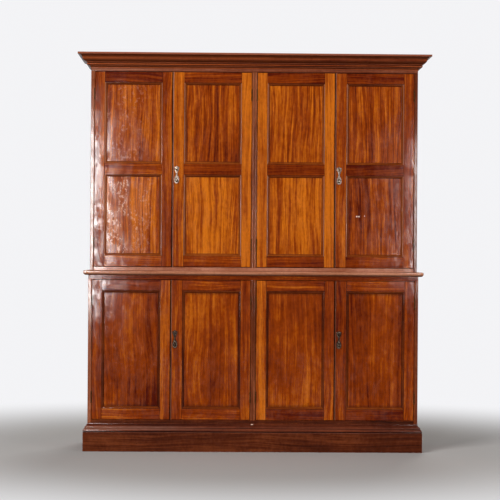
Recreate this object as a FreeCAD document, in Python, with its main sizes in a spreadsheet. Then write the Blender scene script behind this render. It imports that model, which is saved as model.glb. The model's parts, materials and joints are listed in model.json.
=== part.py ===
import FreeCAD, Part
import math
import os
import re

import Sketcher

# Linen press: a two-stage mahogany cupboard with four doors in each stage.
# X runs to the right, the front faces -Y, Z is up. The origin is on the floor,
# at the middle of the overall box. All sizes are in millimetres.

doc = FreeCAD.newDocument("linen_press")
sheet = doc.addObject("Spreadsheet::Sheet", "Sizes")

driving_sizes = {
    # Carcass boards, from the base of the lower stage to the head of the upper
    "upper_width": 1769,
    "upper_depth": 500,
    "lower_step": 8,
    "side_thick": 19,
    "lower_bottom_thick": 18,
    "lower_opening": 758,
    "lower_top_thick": 23,
    "upper_bottom_thick": 21,
    "upper_opening": 1057,
    "upper_top_thick": 15,
    # Divisions with their reeded front posts
    "division_thick": 18,
    "post_width": 28,
    "post_depth": 26,
    # Lapped back boards
    "back_thick": 10,
    "back_lap": 9,
    "back_slack": 0.5,
    # Plinth and base moulding
    "plinth_height": 105,
    "plinth_projection": 24,
    "plinth_back_thick": 22,
    "bearer_thick": 28,
    "base_moulding_height": 47,
    # Waist moulding
    "waist_height": 24,
    "waist_projection": 26,
    "waist_seat": 50,
    # Cornice
    "cornice_height": 82,
    "cornice_projection": 69,
    "cornice_seat": 24,
    "cornice_rail_thick": 20,
    "glue_block_side": 32,
    "glue_block_height": 56,
    # Shelves and the strips that carry them
    "shelf_thick": 18,
    "shelf_setback": 42,
    "shelf_slack": 1,
    "strip_width": 12,
    "strip_height": 20,
    # Door frames and panels
    "door_thick": 22,
    "door_gap": 1.5,
    "hinge_gap": 1.6,
    "meeting_gap": 2.4,
    "stile_width": 55,
    "bead_width": 8,
    "bead_quirk": 1.5,
    "top_rail": 58,
    "lock_rail": 60,
    "bottom_rail": 60,
    "tenon_length": 35,
    "panel_setback": 9,
    "panel_thick": 8,
    "groove_depth": 8,
    "groove_slack": 1,
    "panel_moulding_width": 12,
    "panel_moulding_height": 8,
    # Butt hinges
    "hinge_height": 64,
    "hinge_inset": 90,
    "knuckle_radius": 3.2,
    "knuckle_clear": 0.4,
    "pin_proud": 2.2,
    "hinge_leaf_thick": 1.2,
    "hinge_leaf_depth": 17,
    "gain_slack": 0.3,
    # Handle plates and drops
    "handle_offset": 23,
    "handle_fall": 3,
    "plate_width": 28,
    "plate_height": 104,
    "plate_thick": 2.4,
    "keyhole_radius": 3.2,
    "keyhole_slot": 2.4,
    "keyhole_length": 8,
    "eye_half": 2.7,
    "eye_width": 4.6,
    "eye_clear": 1.4,
    "cheek_thick": 1.8,
    "cheek_clear": 0.2,
    "drop_pin_radius": 1.2,
    "drop_pin_clear": 0.06,
    "drop_thick": 3.6,
    # Locks and flush bolts
    "lock_inset": 7,
    "lock_width": 46,
    "lock_height": 62,
    "lock_depth": 12,
    "lock_bolt_length": 32,
    "lock_bolt_height": 11,
    "lock_bolt_thick": 6,
    "bolt_clear": 0.2,
    "flush_bolt_length": 110,
    "flush_bolt_depth": 5,
    "flush_bolt_mouth": 7,
    "flush_bolt_root": 10,
    "flush_bolt_throw": 10,
    # How far each cutter runs past the face that it cuts
    "overrun": 5,
}

# Where the middle of a lower handle stands, as a share of the door's height,
# and the size of a drop as shares of the plate that it hangs on
lower_handle_share = 0.572
drop_width_share = 0.75
drop_length_share = 0.51

derived_sizes = {
    "lower_width": "upper_width + 2*lower_step",
    "lower_depth": "upper_depth + lower_step",
    "back_face": "(upper_depth + cornice_projection)/2",
    "upper_front": "back_face - upper_depth",
    "lower_front": "upper_front - lower_step",
    "lower_base": "plinth_height + base_moulding_height",
    "lower_floor": "lower_base + lower_bottom_thick",
    "lower_head": "lower_floor + lower_opening",
    "waist_base": "lower_head + lower_top_thick",
    "upper_base": "waist_base + waist_height",
    "upper_floor": "upper_base + upper_bottom_thick",
    "upper_head": "upper_floor + upper_opening",
    "cornice_base": "upper_head + upper_top_thick",
    "groove_reach": "groove_depth - groove_slack",
    "bead_radius": "(bead_width - bead_quirk)/2",
    "knuckle_third": "hinge_height/3",
    "hinge_leaf_reach": "knuckle_radius + pin_proud + hinge_leaf_depth",
    "drop_pivot_out": "plate_thick + eye_half + eye_clear",
    "drop_width": f"{drop_width_share}*plate_width",
    "drop_length": f"{drop_length_share}*plate_height",
    "lock_tunnel_length": "lock_bolt_length + bolt_clear",
    "flush_groove_length": "flush_bolt_length + bolt_clear",
}
for stage in ("lower", "upper"):
    derived_sizes[f"{stage}_inner"] = f"{stage}_width - 2*side_thick"
    derived_sizes[f"{stage}_bay"] = f"({stage}_inner - post_width)/2"
    derived_sizes[f"{stage}_passive"] = f"({stage}_bay - 2*hinge_gap - meeting_gap - bead_width)/2"
    derived_sizes[f"{stage}_active"] = f"{stage}_passive + bead_width"
    derived_sizes[f"{stage}_sight_width"] = f"{stage}_passive - 2*stile_width"
    derived_sizes[f"{stage}_leaf_height"] = f"{stage}_opening - 2*door_gap"
derived_sizes["lower_sight_height"] = "lower_leaf_height - top_rail - bottom_rail"
derived_sizes["upper_sight_height"] = "(upper_leaf_height - top_rail - lock_rail - bottom_rail)/2"
derived_sizes["upper_handle_height"] = "bottom_rail + upper_sight_height - handle_fall"
derived_sizes["lower_handle_height"] = f"{lower_handle_share}*lower_leaf_height"

# Counts of what repeats
back_board_count = 8
lower_shelf_count = 1
upper_shelf_count = 3

# Outlines as shares of a moulding's projection and height, from its tip downwards:
# inward share, upward share, and the rise of the next edge as a share of its length
cornice_shares = (
    (0.00, 1.00, 0),
    (0.00, 0.88, 0),
    (0.05, 0.88, -0.17),
    (0.345, 0.65, 0.17),
    (0.64, 0.42, 0),
    (0.64, 0.37, 0),
    (0.74, 0.33, 0),
    (0.74, 0.32, 0.207),
    (0.67, 0.26, 0.207),
    (0.74, 0.20, 0),
    (0.82, 0.19, 0),
    (0.82, 0.155, 0),
    (0.85, 0.155, -0.20),
    (0.965, 0.03, 0),
    (0.965, 0.00, 0),
)
waist_shares = (
    (0.12, 1.00, 0.20),
    (0.00, 0.80, 0),
    (0.00, 0.62, 0.20),
    (0.55, 0.00, 0),
)
base_moulding_shares = (
    (0.96, 1.00, -0.16),
    (0.54, 0.65, 0),
    (0.50, 0.64, 0.22),
    (0.47, 0.43, 0),
    (0.40, 0.41, 0.18),
    (0.08, 0.20, 0),
    (0.04, 0.19, 0.12),
    (0.04, 0.06, 0),
    (0.12, 0.05, 0),
    (0.12, 0.00, 0),
)
# Handle plate and drop, as shares of their own width and height, anticlockwise
plate_shares = (
    (0.02, 0.15, 0.30),
    (0.98, 0.15, 0),
    (0.70, 0.48, 0),
    (0.98, 0.80, 0),
    (0.90, 0.88, 0),
    (0.50, 1.00, 0),
    (0.10, 0.88, 0),
    (0.02, 0.80, 0),
    (0.30, 0.48, 0),
)
drop_shares = (
    (0.02, 0.20, 0.36),
    (0.98, 0.20, 0),
    (0.60, 0.86, 0),
    (0.60, 1.00, 0),
    (0.40, 1.00, 0),
    (0.40, 0.86, 0),
)
pivot_share = 0.55
keyhole_share = 0.80
lock_bolt_share = 0.30
# Where the flush bolt's groove lies across the door's edge
flush_bolt_share = 0.5
# Rise of a reed, and of a quarter round, as a share of the width that it spans
reed_share = 0.21
quarter_share = 0.207


def expand(text):
    """Writes a formula in plain size names as an expression on the sheet."""
    def swap(match):
        word = match.group(0)
        if word in derived_sizes:
            return "(" + expand(derived_sizes[word]) + ")"
        if word in driving_sizes:
            return "Sizes." + word
        return word
    return re.sub(r"[a-z][a-z_]*", swap, text)


def value(text):
    return float(sheet.evalExpression(expand(text)))


def bind(item, name, text):
    item.setExpression(name, expand(text))


def put(item, place):
    for axis, text in zip("xyz", place):
        bind(item, f"Placement.Base.{axis}", text)
    return item


def box(label, corner, size):
    item = doc.addObject("Part::Box", label)
    for name, text in zip(("Length", "Width", "Height"), size):
        bind(item, name, text)
    return put(item, corner)


turns = {
    "x": FreeCAD.Rotation(FreeCAD.Vector(0, 1, 0), 90),
    "y": FreeCAD.Rotation(FreeCAD.Vector(1, 0, 0), -90),
    "z": FreeCAD.Rotation(),
}


def rod(label, start, radius, length, along="z"):
    item = doc.addObject("Part::Cylinder", label)
    bind(item, "Radius", radius)
    bind(item, "Height", length)
    item.Placement = FreeCAD.Placement(FreeCAD.Vector(), turns[along])
    return put(item, start)


def join(label, items):
    item = doc.addObject("Part::MultiFuse", label)
    item.Shapes = items
    item.Refine = True
    return item


def cut(label, base, tools):
    item = doc.addObject("Part::Cut", label)
    item.Base = base
    item.Tool = tools[0] if len(tools) == 1 else join(label + "_cutters", tools)
    item.Refine = True
    return item


def common(label, base, tool):
    item = doc.addObject("Part::Common", label)
    item.Base = base
    item.Tool = tool
    return item


def mirror(label, source, normal, through=None):
    """Mirrors a piece in a plane square to one axis, at a named distance."""
    item = doc.addObject("Part::Mirroring", label)
    item.Source = source
    item.Normal = FreeCAD.Vector(*normal)
    if through:
        axis, text = through
        bind(item, f"Base.{axis}", text)
    return item


def group(label, items, place=("0", "0", "0")):
    item = doc.addObject("Part::Compound", label)
    item.Links = items
    return put(item, place)


def corner_point(sketch, geometry, end, axis, text):
    """Ties one coordinate of a drawn point to its formula."""
    number = value(text)
    if abs(number) < 1e-9:
        line = -2 if axis == "X" else -1
        sketch.addConstraint(Sketcher.Constraint("PointOnObject", geometry, end, line))
        return
    index = sketch.addConstraint(Sketcher.Constraint("Distance" + axis, -1, 1, geometry, end, number))
    bind(sketch, f"Constraints[{index}]", text)


def draw_loop(sketch, loop):
    """Draws one closed outline. A positive rise bows an edge outwards, a negative one inwards."""
    corners = [FreeCAD.Vector(value(x), value(y), 0) for x, y, rise in loop]
    first = sketch.GeometryCount
    ends = []
    radii = {}
    for index, (x, y, rise) in enumerate(loop):
        start = corners[index]
        following = (index + 1) % len(loop)
        finish = corners[following]
        if rise == 0:
            sketch.addGeometry(Part.LineSegment(start, finish))
            ends.append((1, 2))
            continue
        chord = finish - start
        outwards = FreeCAD.Vector(chord.y, -chord.x, 0).normalize()
        radius_share = (1 + 4*rise*rise)/(8*abs(rise))
        radius = chord.Length*radius_share
        sign = math.copysign(1, rise)
        centre = (start + finish)*0.5 + outwards*(chord.Length*rise - sign*radius)
        circle = Part.Circle(centre, FreeCAD.Vector(0, 0, 1), radius)
        turn_from, turn_to = (start, finish) if rise > 0 else (finish, start)
        angles = [math.atan2(p.y - centre.y, p.x - centre.x) for p in (turn_from, turn_to)]
        if angles[1] <= angles[0]:
            angles[1] += 2*math.pi
        sketch.addGeometry(Part.ArcOfCircle(circle, angles[0], angles[1]))
        ends.append((1, 2) if rise > 0 else (2, 1))
        run = f"({loop[following][0]}) - ({x})"
        climb = f"({loop[following][1]}) - ({y})"
        radii[first + index] = (f"sqrt(({run})^2 + ({climb})^2)*{radius_share}", radius)
    for index, (x, y, rise) in enumerate(loop):
        before = index - 1 if index else len(loop) - 1
        meeting = (first + before, ends[before][1], first + index, ends[index][0])
        sketch.addConstraint(Sketcher.Constraint("Coincident", *meeting))
        corner_point(sketch, first + index, ends[index][0], "X", x)
        corner_point(sketch, first + index, ends[index][0], "Y", y)
    for geometry, (text, radius) in radii.items():
        index = sketch.addConstraint(Sketcher.Constraint("Radius", geometry, radius))
        bind(sketch, f"Constraints[{index}]", text)


def profile(label, plane, loops, length, place=("0", "0", "0")):
    """A body padded from its outline: XY pads to +Z, YZ to +X and XZ to -Y."""
    body = doc.addObject("PartDesign::Body", label)
    sketch = body.newObject("Sketcher::SketchObject", label + "_outline")
    origin_plane = [f for f in body.Origin.OriginFeatures if f.Role == plane + "_Plane"][0]
    sketch.AttachmentSupport = [(origin_plane, "")]
    sketch.MapMode = "FlatFace"
    for loop in loops:
        draw_loop(sketch, loop)
    pad = body.newObject("PartDesign::Pad", label + "_pad")
    pad.Profile = sketch
    bind(pad, "Length", length)
    body.Tip = pad
    return put(body, place)


def share_loop(shares, across, up):
    return [(f"{x}*({across})", f"{y}*({up})", rise) for x, y, rise in shares]


def moulding_loop(shares, projection, height, depth):
    """Closes a moulding's face with its flat back and the seat that it stands on."""
    loop = share_loop(shares, projection, height)
    loop.append((depth, "0", 0))
    loop.append((depth, height, 0))
    return loop


def mitre_wedge(label, half_width, tip, depth, base, height, past="overrun"):
    """The space of a front length with its two ends mitred, a little taller than the length."""
    item = doc.addObject("Part::Wedge", label)
    bind(item, "Xmin", f"-({half_width})")
    bind(item, "Xmax", half_width)
    bind(item, "X2min", f"{depth} - ({half_width})")
    bind(item, "X2max", f"{half_width} - ({depth})")
    bind(item, "Ymin", tip)
    bind(item, "Ymax", f"{tip} + {depth}")
    for name in ("Zmin", "Z2min"):
        bind(item, name, f"{base} - {past}")
    for name in ("Zmax", "Z2max"):
        bind(item, name, f"{base} + {height} + {past}")
    return item


def mitred_front_and_sides(label, loop, half_width, tip, depth, base, height):
    """Three lengths of one moulding: along the front, and back along each side."""
    wedge = mitre_wedge(label + "_mitre", half_width, tip, depth, base, height)
    front_place = (f"-({half_width})", tip, base)
    front_run = profile(label + "_front_run", "YZ", [loop], f"2*({half_width})", front_place)
    side_place = (f"-({half_width})", "back_face", base)
    side_run = profile(label + "_side_run", "XZ", [loop], f"back_face - ({tip})", side_place)
    front = common(label + "_front", front_run, wedge)
    left = cut(label + "_left", side_run, [wedge])
    right = mirror(label + "_right", left, (1, 0, 0))
    return [front, left, right]


for row, (name, number) in enumerate(driving_sizes.items(), start=1):
    sheet.set(f"A{row}", str(number))
    sheet.setAlias(f"A{row}", name)
doc.recompute()

nodes = []


def node(label, items, place=("0", "0", "0")):
    item = group(label, items, place)
    nodes.append(item)
    return item


# Butt hinges. Each stands on its pin axis, with its foot at zero height. A leaf is a plate
# with half-round knuckles along its front edge, and its pin is one with the fixed knuckles.
hinge_blank_loop = [
    ("0", "knuckle_radius", quarter_share),
    ("knuckle_radius", "0", quarter_share),
    ("2*knuckle_radius", "knuckle_radius", 0),
    ("knuckle_radius + hinge_gap/2 + hinge_leaf_thick", "knuckle_radius", 0),
    ("knuckle_radius + hinge_gap/2 + hinge_leaf_thick", "hinge_leaf_reach", 0),
    ("knuckle_radius + hinge_gap/2", "hinge_leaf_reach", 0),
    ("knuckle_radius + hinge_gap/2", "knuckle_radius", 0),
]


def hinge_blank(label):
    place = ("-knuckle_radius", "-knuckle_radius", "0")
    return profile(label, "XY", [hinge_blank_loop], "hinge_height", place)


def knuckle_notch(label, foot, height):
    """Room for the other leaf's knuckles to turn in."""
    half = "(knuckle_radius + knuckle_clear)"
    return box(label, (f"-{half}", f"-{half}", foot), (f"2*{half}", f"2*{half}", height))


end_notch = "knuckle_third + knuckle_clear"
right_fixed = cut(
    "right_hung_fixed_leaf",
    hinge_blank("fixed_blank"),
    [knuckle_notch("fixed_notch", "knuckle_third", "knuckle_third")],
)
left_moving = cut(
    "left_hung_moving_leaf",
    hinge_blank("moving_blank"),
    [
        knuckle_notch("lower_notch", "0", end_notch),
        knuckle_notch("upper_notch", f"hinge_height - ({end_notch})", end_notch),
    ],
)
left_fixed = mirror("left_hung_fixed_leaf", right_fixed, (1, 0, 0))
right_moving = mirror("right_hung_moving_leaf", left_moving, (1, 0, 0))
fixed_leaf = {"left_hung": left_fixed, "right_hung": right_fixed}
moving_leaf = {"left_hung": left_moving, "right_hung": right_moving}


# The recess for a leaf and its knuckles in the wood on the right of the pin, and on its left
right_gain = join(
    "gain_to_right",
    [
        box(
            "gain_plate",
            ("hinge_gap/2", "0", "0"),
            ("hinge_leaf_thick", "pin_proud + hinge_leaf_depth + gain_slack", "hinge_height"),
        ),
        knuckle_notch("gain_notch", "-gain_slack", "hinge_height + 2*gain_slack"),
    ],
)
gains = {1: right_gain, -1: mirror("gain_to_left", right_gain, (1, 0, 0))}
hung = {"passive": "left_hung", "active": "right_hung"}


def hinge_feet(stage):
    """Heights of the hinges above the foot of the door."""
    return ["hinge_inset", f"{stage}_leaf_height - hinge_inset - hinge_height"]


def gain_cutters(label, stage, side, pin_x, pin_y, foot):
    cutters = []
    for index, height in enumerate(hinge_feet(stage)):
        cutters.append(group(f"{label}_{index}", [gains[side]], (pin_x, pin_y, f"{foot} + {height}")))
    return cutters


# The four doors of a stage, from left to right: passive, active, passive, active
door_kinds = {1: "passive", 2: "active", 3: "passive", 4: "active"}


def door_left(stage, number):
    places = {
        1: f"-{stage}_inner/2 + hinge_gap",
        2: f"-post_width/2 - hinge_gap - {stage}_active",
        3: "post_width/2 + hinge_gap",
        4: f"{stage}_inner/2 - hinge_gap - {stage}_active",
    }
    return places[number]


def door_pin(stage, number):
    if door_kinds[number] == "passive":
        return f"{door_left(stage, number)} - hinge_gap/2"
    return f"{door_left(stage, number)} + {stage}_active + hinge_gap/2"


# Plinth: a mitred board on the front and sides, a back board, and an inner frame
# of bearers that stands on the floor and carries the lower carcass
plinth_half = "lower_width/2 + plinth_projection"
plinth_tip = "lower_front - plinth_projection"
plinth_front = mitre_wedge(
    "plinth_front", plinth_half, plinth_tip, "plinth_projection", "0", "plinth_height", past="0"
)
plinth_run = box(
    "plinth_side_run",
    (f"-({plinth_half})", plinth_tip, "0"),
    ("plinth_projection", f"back_face - ({plinth_tip})", "plinth_height"),
)
plinth_left = cut("plinth_left", plinth_run, [plinth_front])
plinth_right = mirror("plinth_right", plinth_left, (1, 0, 0))
plinth_back = box(
    "plinth_back",
    ("-lower_width/2", "back_face - plinth_back_thick", "0"),
    ("lower_width", "plinth_back_thick", "lower_base"),
)
node("plinth_boards", [plinth_front, plinth_left, plinth_right, plinth_back])

bearer_run = "lower_depth - plinth_back_thick - 2*bearer_thick"
bearers = [
    box(
        "front_bearer",
        ("-lower_width/2", "lower_front", "0"),
        ("lower_width", "bearer_thick", "lower_base"),
    ),
    box(
        "back_bearer",
        ("-lower_width/2", "back_face - plinth_back_thick - bearer_thick", "0"),
        ("lower_width", "bearer_thick", "lower_base"),
    ),
]
bearer_places = ("-lower_width/2", "-bearer_thick/2", "lower_width/2 - bearer_thick")
for index, start in enumerate(bearer_places):
    corner = (start, "lower_front + bearer_thick", "0")
    bearers.append(box(f"cross_bearer_{index}", corner, ("bearer_thick", bearer_run, "lower_base")))
node("plinth_bearers", bearers)

base_loop = moulding_loop(
    base_moulding_shares, "plinth_projection", "base_moulding_height", "plinth_projection"
)
base_lengths = mitred_front_and_sides(
    "base_moulding",
    base_loop,
    plinth_half,
    plinth_tip,
    "plinth_projection",
    "plinth_height",
    "base_moulding_height",
)
node("base_moulding", base_lengths)


# Carcass sides: the left one is recessed for its hinges, the right one is its mirror image
for stage in ("lower", "upper"):
    rise = f"{stage}_head - {stage}_base"
    corner = (f"-{stage}_width/2", f"{stage}_front", f"{stage}_base")
    blank = box(f"{stage}_side_blank", corner, ("side_thick", f"{stage}_depth", rise))
    foot = f"{stage}_floor + door_gap"
    cutters = gain_cutters(
        f"{stage}_side_gain", stage, -1, door_pin(stage, 1), f"{stage}_front - pin_proud", foot
    )
    left = cut(f"{stage}_left_side", blank, cutters)
    node(f"{stage}_sides", [left, mirror(f"{stage}_right_side", left, (1, 0, 0))])


# Top and bottom boards. Each bottom lies between the sides, each top runs over them
# and has sockets on its under side for the flush bolts of the passive doors.
def bolt_socket(label, stage, number):
    edge = f"{door_left(stage, number)} + {stage}_passive"
    corner = (
        f"{edge} - flush_bolt_depth - bolt_clear",
        f"{stage}_front + door_thick*{flush_bolt_share} - flush_bolt_root/2 - bolt_clear",
        f"{stage}_head - overrun",
    )
    size = (
        "flush_bolt_depth + 2*bolt_clear",
        "flush_bolt_root + 2*bolt_clear",
        "overrun + flush_bolt_throw",
    )
    return box(label, corner, size)


for stage in ("lower", "upper"):
    bottom = box(
        f"{stage}_bottom",
        (f"-{stage}_inner/2", f"{stage}_front", f"{stage}_base"),
        (f"{stage}_inner", f"{stage}_depth - back_thick", f"{stage}_bottom_thick"),
    )
    blank = box(
        f"{stage}_top_blank",
        (f"-{stage}_width/2", f"{stage}_front", f"{stage}_head"),
        (f"{stage}_width", f"{stage}_depth", f"{stage}_top_thick"),
    )
    sockets = [bolt_socket(f"{stage}_socket_{number}", stage, number) for number in (1, 3)]
    node(f"{stage}_top_and_bottom", [bottom, cut(f"{stage}_top", blank, sockets)])


# Divisions: a board behind a post whose front is worked as two reeds
for stage in ("lower", "upper"):
    reed_rise = f"{reed_share}*post_width/2"
    loop = [
        ("0", reed_rise, reed_share),
        ("post_width/2", reed_rise, reed_share),
        ("post_width", reed_rise, 0),
        ("post_width", "post_depth", 0),
        ("0", "post_depth", 0),
    ]
    corner = ("-post_width/2", f"{stage}_front", f"{stage}_floor")
    blank = profile(f"{stage}_post_blank", "XY", [loop], f"{stage}_opening", corner)
    foot = f"{stage}_floor + door_gap"
    pin_y = f"{stage}_front - pin_proud"
    cutters = gain_cutters(f"{stage}_post_gain_left", stage, 1, door_pin(stage, 2), pin_y, foot)
    cutters += gain_cutters(f"{stage}_post_gain_right", stage, -1, door_pin(stage, 3), pin_y, foot)
    post = cut(f"{stage}_post", blank, cutters)
    board = box(
        f"{stage}_division_board",
        ("-division_thick/2", f"{stage}_front + post_depth", f"{stage}_floor"),
        ("division_thick", f"{stage}_depth - post_depth - back_thick", f"{stage}_opening"),
    )
    node(f"{stage}_division", [board, post])


# Back boards: upright boards between the sides, each lapped over its right-hand neighbour
back_boards = []
for stage in ("lower", "upper"):
    pitch = f"{stage}_inner/{back_board_count}"
    rise = f"{stage}_head - {stage}_base"
    for index in range(back_board_count):
        start = f"-{stage}_inner/2 + {index}*{pitch}"
        front_y = "back_face - back_thick"
        face_place = (start, front_y, f"{stage}_base")
        face = box(f"{stage}_back_face_{index}", face_place, (pitch, "back_thick/2", rise))
        rear_start = start if index == 0 else f"{start} + back_lap + back_slack"
        rear_end = f"{start} + {pitch}"
        if index < back_board_count - 1:
            rear_end = f"{rear_end} + back_lap"
        rear = box(
            f"{stage}_back_rear_{index}",
            (rear_start, "back_face - back_thick/2", f"{stage}_base"),
            (f"{rear_end} - ({rear_start})", "back_thick/2", rise),
        )
        back_boards.append(join(f"{stage}_back_{index}", [face, rear]))
node("back_boards", back_boards)


# Shelves, evenly spaced in each bay, on strips fixed to the sides and the division
shelves = []
strips = []
for stage, count in (("lower", lower_shelf_count), ("upper", upper_shelf_count)):
    space = f"({stage}_opening - {count}*shelf_thick)/{count + 1}"
    run = f"{stage}_depth - shelf_setback - back_thick"
    front_y = f"{stage}_front + shelf_setback"
    width = f"({stage}_inner - division_thick)/2"
    for index in range(count):
        height = f"{stage}_floor + {index + 1}*{space} + {index}*shelf_thick"
        strip_height = f"{height} - strip_height"
        for bay, start in (("left", f"-{stage}_inner/2"), ("right", "division_thick/2")):
            label = f"{stage}_{bay}_shelf_{index}"
            corner = (f"{start} + shelf_slack", front_y, height)
            shelves.append(box(label, corner, (f"{width} - 2*shelf_slack", run, "shelf_thick")))
            for end, place in (("near", start), ("far", f"{start} + {width} - strip_width")):
                corner = (place, front_y, strip_height)
                strips.append(box(f"{label}_{end}_strip", corner, ("strip_width", run, "strip_height")))
node("shelves", shelves)
node("shelf_strips", strips)


# Waist: a frame with a thumb-moulded edge that lies on the lower top and carries the upper stage
waist_half = "lower_width/2 + waist_projection"
waist_tip = "lower_front - waist_projection"
waist_depth = "(waist_projection + waist_seat)"
waist_loop = moulding_loop(waist_shares, "waist_projection", "waist_height", waist_depth)
waist_lengths = mitred_front_and_sides(
    "waist", waist_loop, waist_half, waist_tip, waist_depth, "waist_base", "waist_height"
)
waist_rail = box(
    "waist_back_rail",
    (f"{waist_depth} - ({waist_half})", "back_face - waist_seat", "waist_base"),
    (f"2*({waist_half} - {waist_depth})", "waist_seat", "waist_height"),
)
node("waist_moulding", waist_lengths + [waist_rail])


# Cornice: three mitred lengths that stand on the upper top, with a back rail and glue blocks inside
cornice_half = "upper_width/2 + cornice_projection"
cornice_tip = "upper_front - cornice_projection"
cornice_depth = "(cornice_projection + cornice_seat)"
cornice_loop = moulding_loop(cornice_shares, "cornice_projection", "cornice_height", cornice_depth)
cornice_lengths = mitred_front_and_sides(
    "cornice", cornice_loop, cornice_half, cornice_tip, cornice_depth, "cornice_base", "cornice_height"
)
node("cornice_moulding", cornice_lengths)

cornice_inner_half = "upper_width/2 - cornice_seat"
cornice_inner_back = "back_face - cornice_rail_thick"
cornice_frame = [
    box(
        "cornice_back_rail",
        (f"-({cornice_inner_half})", cornice_inner_back, "cornice_base"),
        (f"2*({cornice_inner_half})", "cornice_rail_thick", "cornice_height"),
    )
]
block_size = ("glue_block_side", "glue_block_side", "glue_block_height")
block_rows = {"front": "upper_front + cornice_seat", "back": f"{cornice_inner_back} - glue_block_side"}
for row, start_y in block_rows.items():
    corner = (f"-({cornice_inner_half})", start_y, "cornice_base")
    left_block = box(f"cornice_{row}_left_block", corner, block_size)
    cornice_frame += [left_block, mirror(f"cornice_{row}_right_block", left_block, (1, 0, 0))]
node("cornice_frame", cornice_frame)


# Fixed hinge leaves and their pins, in the sides and the posts
fixed_leaves = []
for stage in ("lower", "upper"):
    for number, kind in door_kinds.items():
        for index, height in enumerate(hinge_feet(stage)):
            foot = f"{stage}_floor + door_gap + {height}"
            place = (door_pin(stage, number), f"{stage}_front - pin_proud", foot)
            fixed_leaves.append(group(f"{stage}_{number}_fixed_{index}", [fixed_leaf[hung[kind]]], place))
node("hinge_fixed_leaves", fixed_leaves)


# Panel moulding: a small ovolo that lies on the panel against the frame, mitred at the corners.
# The corner of the frame's opening is at zero, and the moulding's height is measured from the panel.
ovolo_shares = (
    (1.00, 0.00, 0),
    (1.00, 0.18, 0.11),
    (0.22, 1.00, 0),
    (0.00, 1.00, 0),
    (0.00, 0.00, 0),
)


def ovolo_point(inward, outward):
    return f"panel_setback - {outward}*panel_moulding_height", f"{inward}*panel_moulding_width"


def panel_set(stage):
    """A panel, and the four mitred lengths of moulding that frame it."""
    wide = f"{stage}_sight_width"
    tall = f"{stage}_sight_height"
    label = f"{stage}_panel_moulding"
    panel = box(
        f"{stage}_panel",
        ("-groove_reach", "panel_setback", "-groove_reach"),
        (f"{wide} + 2*groove_reach", "panel_thick", f"{tall} + 2*groove_reach"),
    )
    level_loop = [ovolo_point(x, y) + (rise,) for x, y, rise in ovolo_shares]
    upright_loop = []
    for index, (depth, across, rise) in enumerate(level_loop):
        upright_loop.insert(0, (across, depth, level_loop[index - 1][2]))
    level_run = profile(f"{label}_level_run", "YZ", [level_loop], wide)
    upright_run = profile(f"{label}_upright_run", "XY", [upright_loop], tall)
    wedge = doc.addObject("Part::Wedge", f"{label}_lower_mitre")
    bind(wedge, "Xmin", "0")
    bind(wedge, "Xmax", wide)
    bind(wedge, "X2min", "panel_moulding_width")
    bind(wedge, "X2max", f"{wide} - panel_moulding_width")
    bind(wedge, "Ymin", "0")
    bind(wedge, "Ymax", "panel_moulding_width")
    for name in ("Zmin", "Z2min"):
        bind(wedge, name, "-door_thick")
    for name in ("Zmax", "Z2max"):
        bind(wedge, name, "overrun")
    wedge.Placement = FreeCAD.Placement(FreeCAD.Vector(), FreeCAD.Rotation(FreeCAD.Vector(1, 0, 0), 90))
    middle = ("z", f"({tall})/2")
    upper_wedge = mirror(f"{label}_upper_mitre", wedge, (0, 0, 1), middle)
    bottom = common(f"{label}_bottom", level_run, wedge)
    top = mirror(f"{label}_top", bottom, (0, 0, 1), middle)
    left = cut(f"{label}_left", upright_run, [wedge, upper_wedge])
    right = mirror(f"{label}_right", left, (1, 0, 0), ("x", f"({wide})/2"))
    return [panel, bottom, top, left, right]


panel_sets = {stage: panel_set(stage) for stage in ("lower", "upper")}


# Door frames. Each leaf is drawn with its lower left front corner at zero.
def rail_rows(stage):
    """Name, foot and height of each rail."""
    rows = [("bottom", "0", "bottom_rail")]
    if stage == "upper":
        rows.append(("lock", "bottom_rail + upper_sight_height", "lock_rail"))
    rows.append(("top", f"{stage}_leaf_height - top_rail", "top_rail"))
    return rows


def left_stile_width(kind):
    return "(stile_width + bead_width)" if kind == "active" else "stile_width"


def key_slot(label, stage):
    """The slot for the key through the stile, behind the plate's keyhole."""
    height = f"{stage}_handle_height + ({keyhole_share} - 0.5)*plate_height"
    return box(
        label,
        ("handle_offset - keyhole_radius", "-overrun", f"{height} - keyhole_length"),
        ("2*keyhole_radius", "door_thick + 2*overrun", "keyhole_length + keyhole_radius"),
    )


def flush_bolt_loop(clear):
    """Dovetail section of the flush bolt, from the door's edge inwards."""
    mouth = f"(flush_bolt_mouth/2 + {clear})"
    root = f"(flush_bolt_root/2 + {clear})"
    middle = f"door_thick*{flush_bolt_share}"
    deep = f"flush_bolt_depth + {clear}"
    return [
        ("0", f"{middle} - {root}", 0),
        (deep, f"{middle} - {mouth}", 0),
        (deep, f"{middle} + {mouth}", 0),
        ("0", f"{middle} + {root}", 0),
    ]


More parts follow.
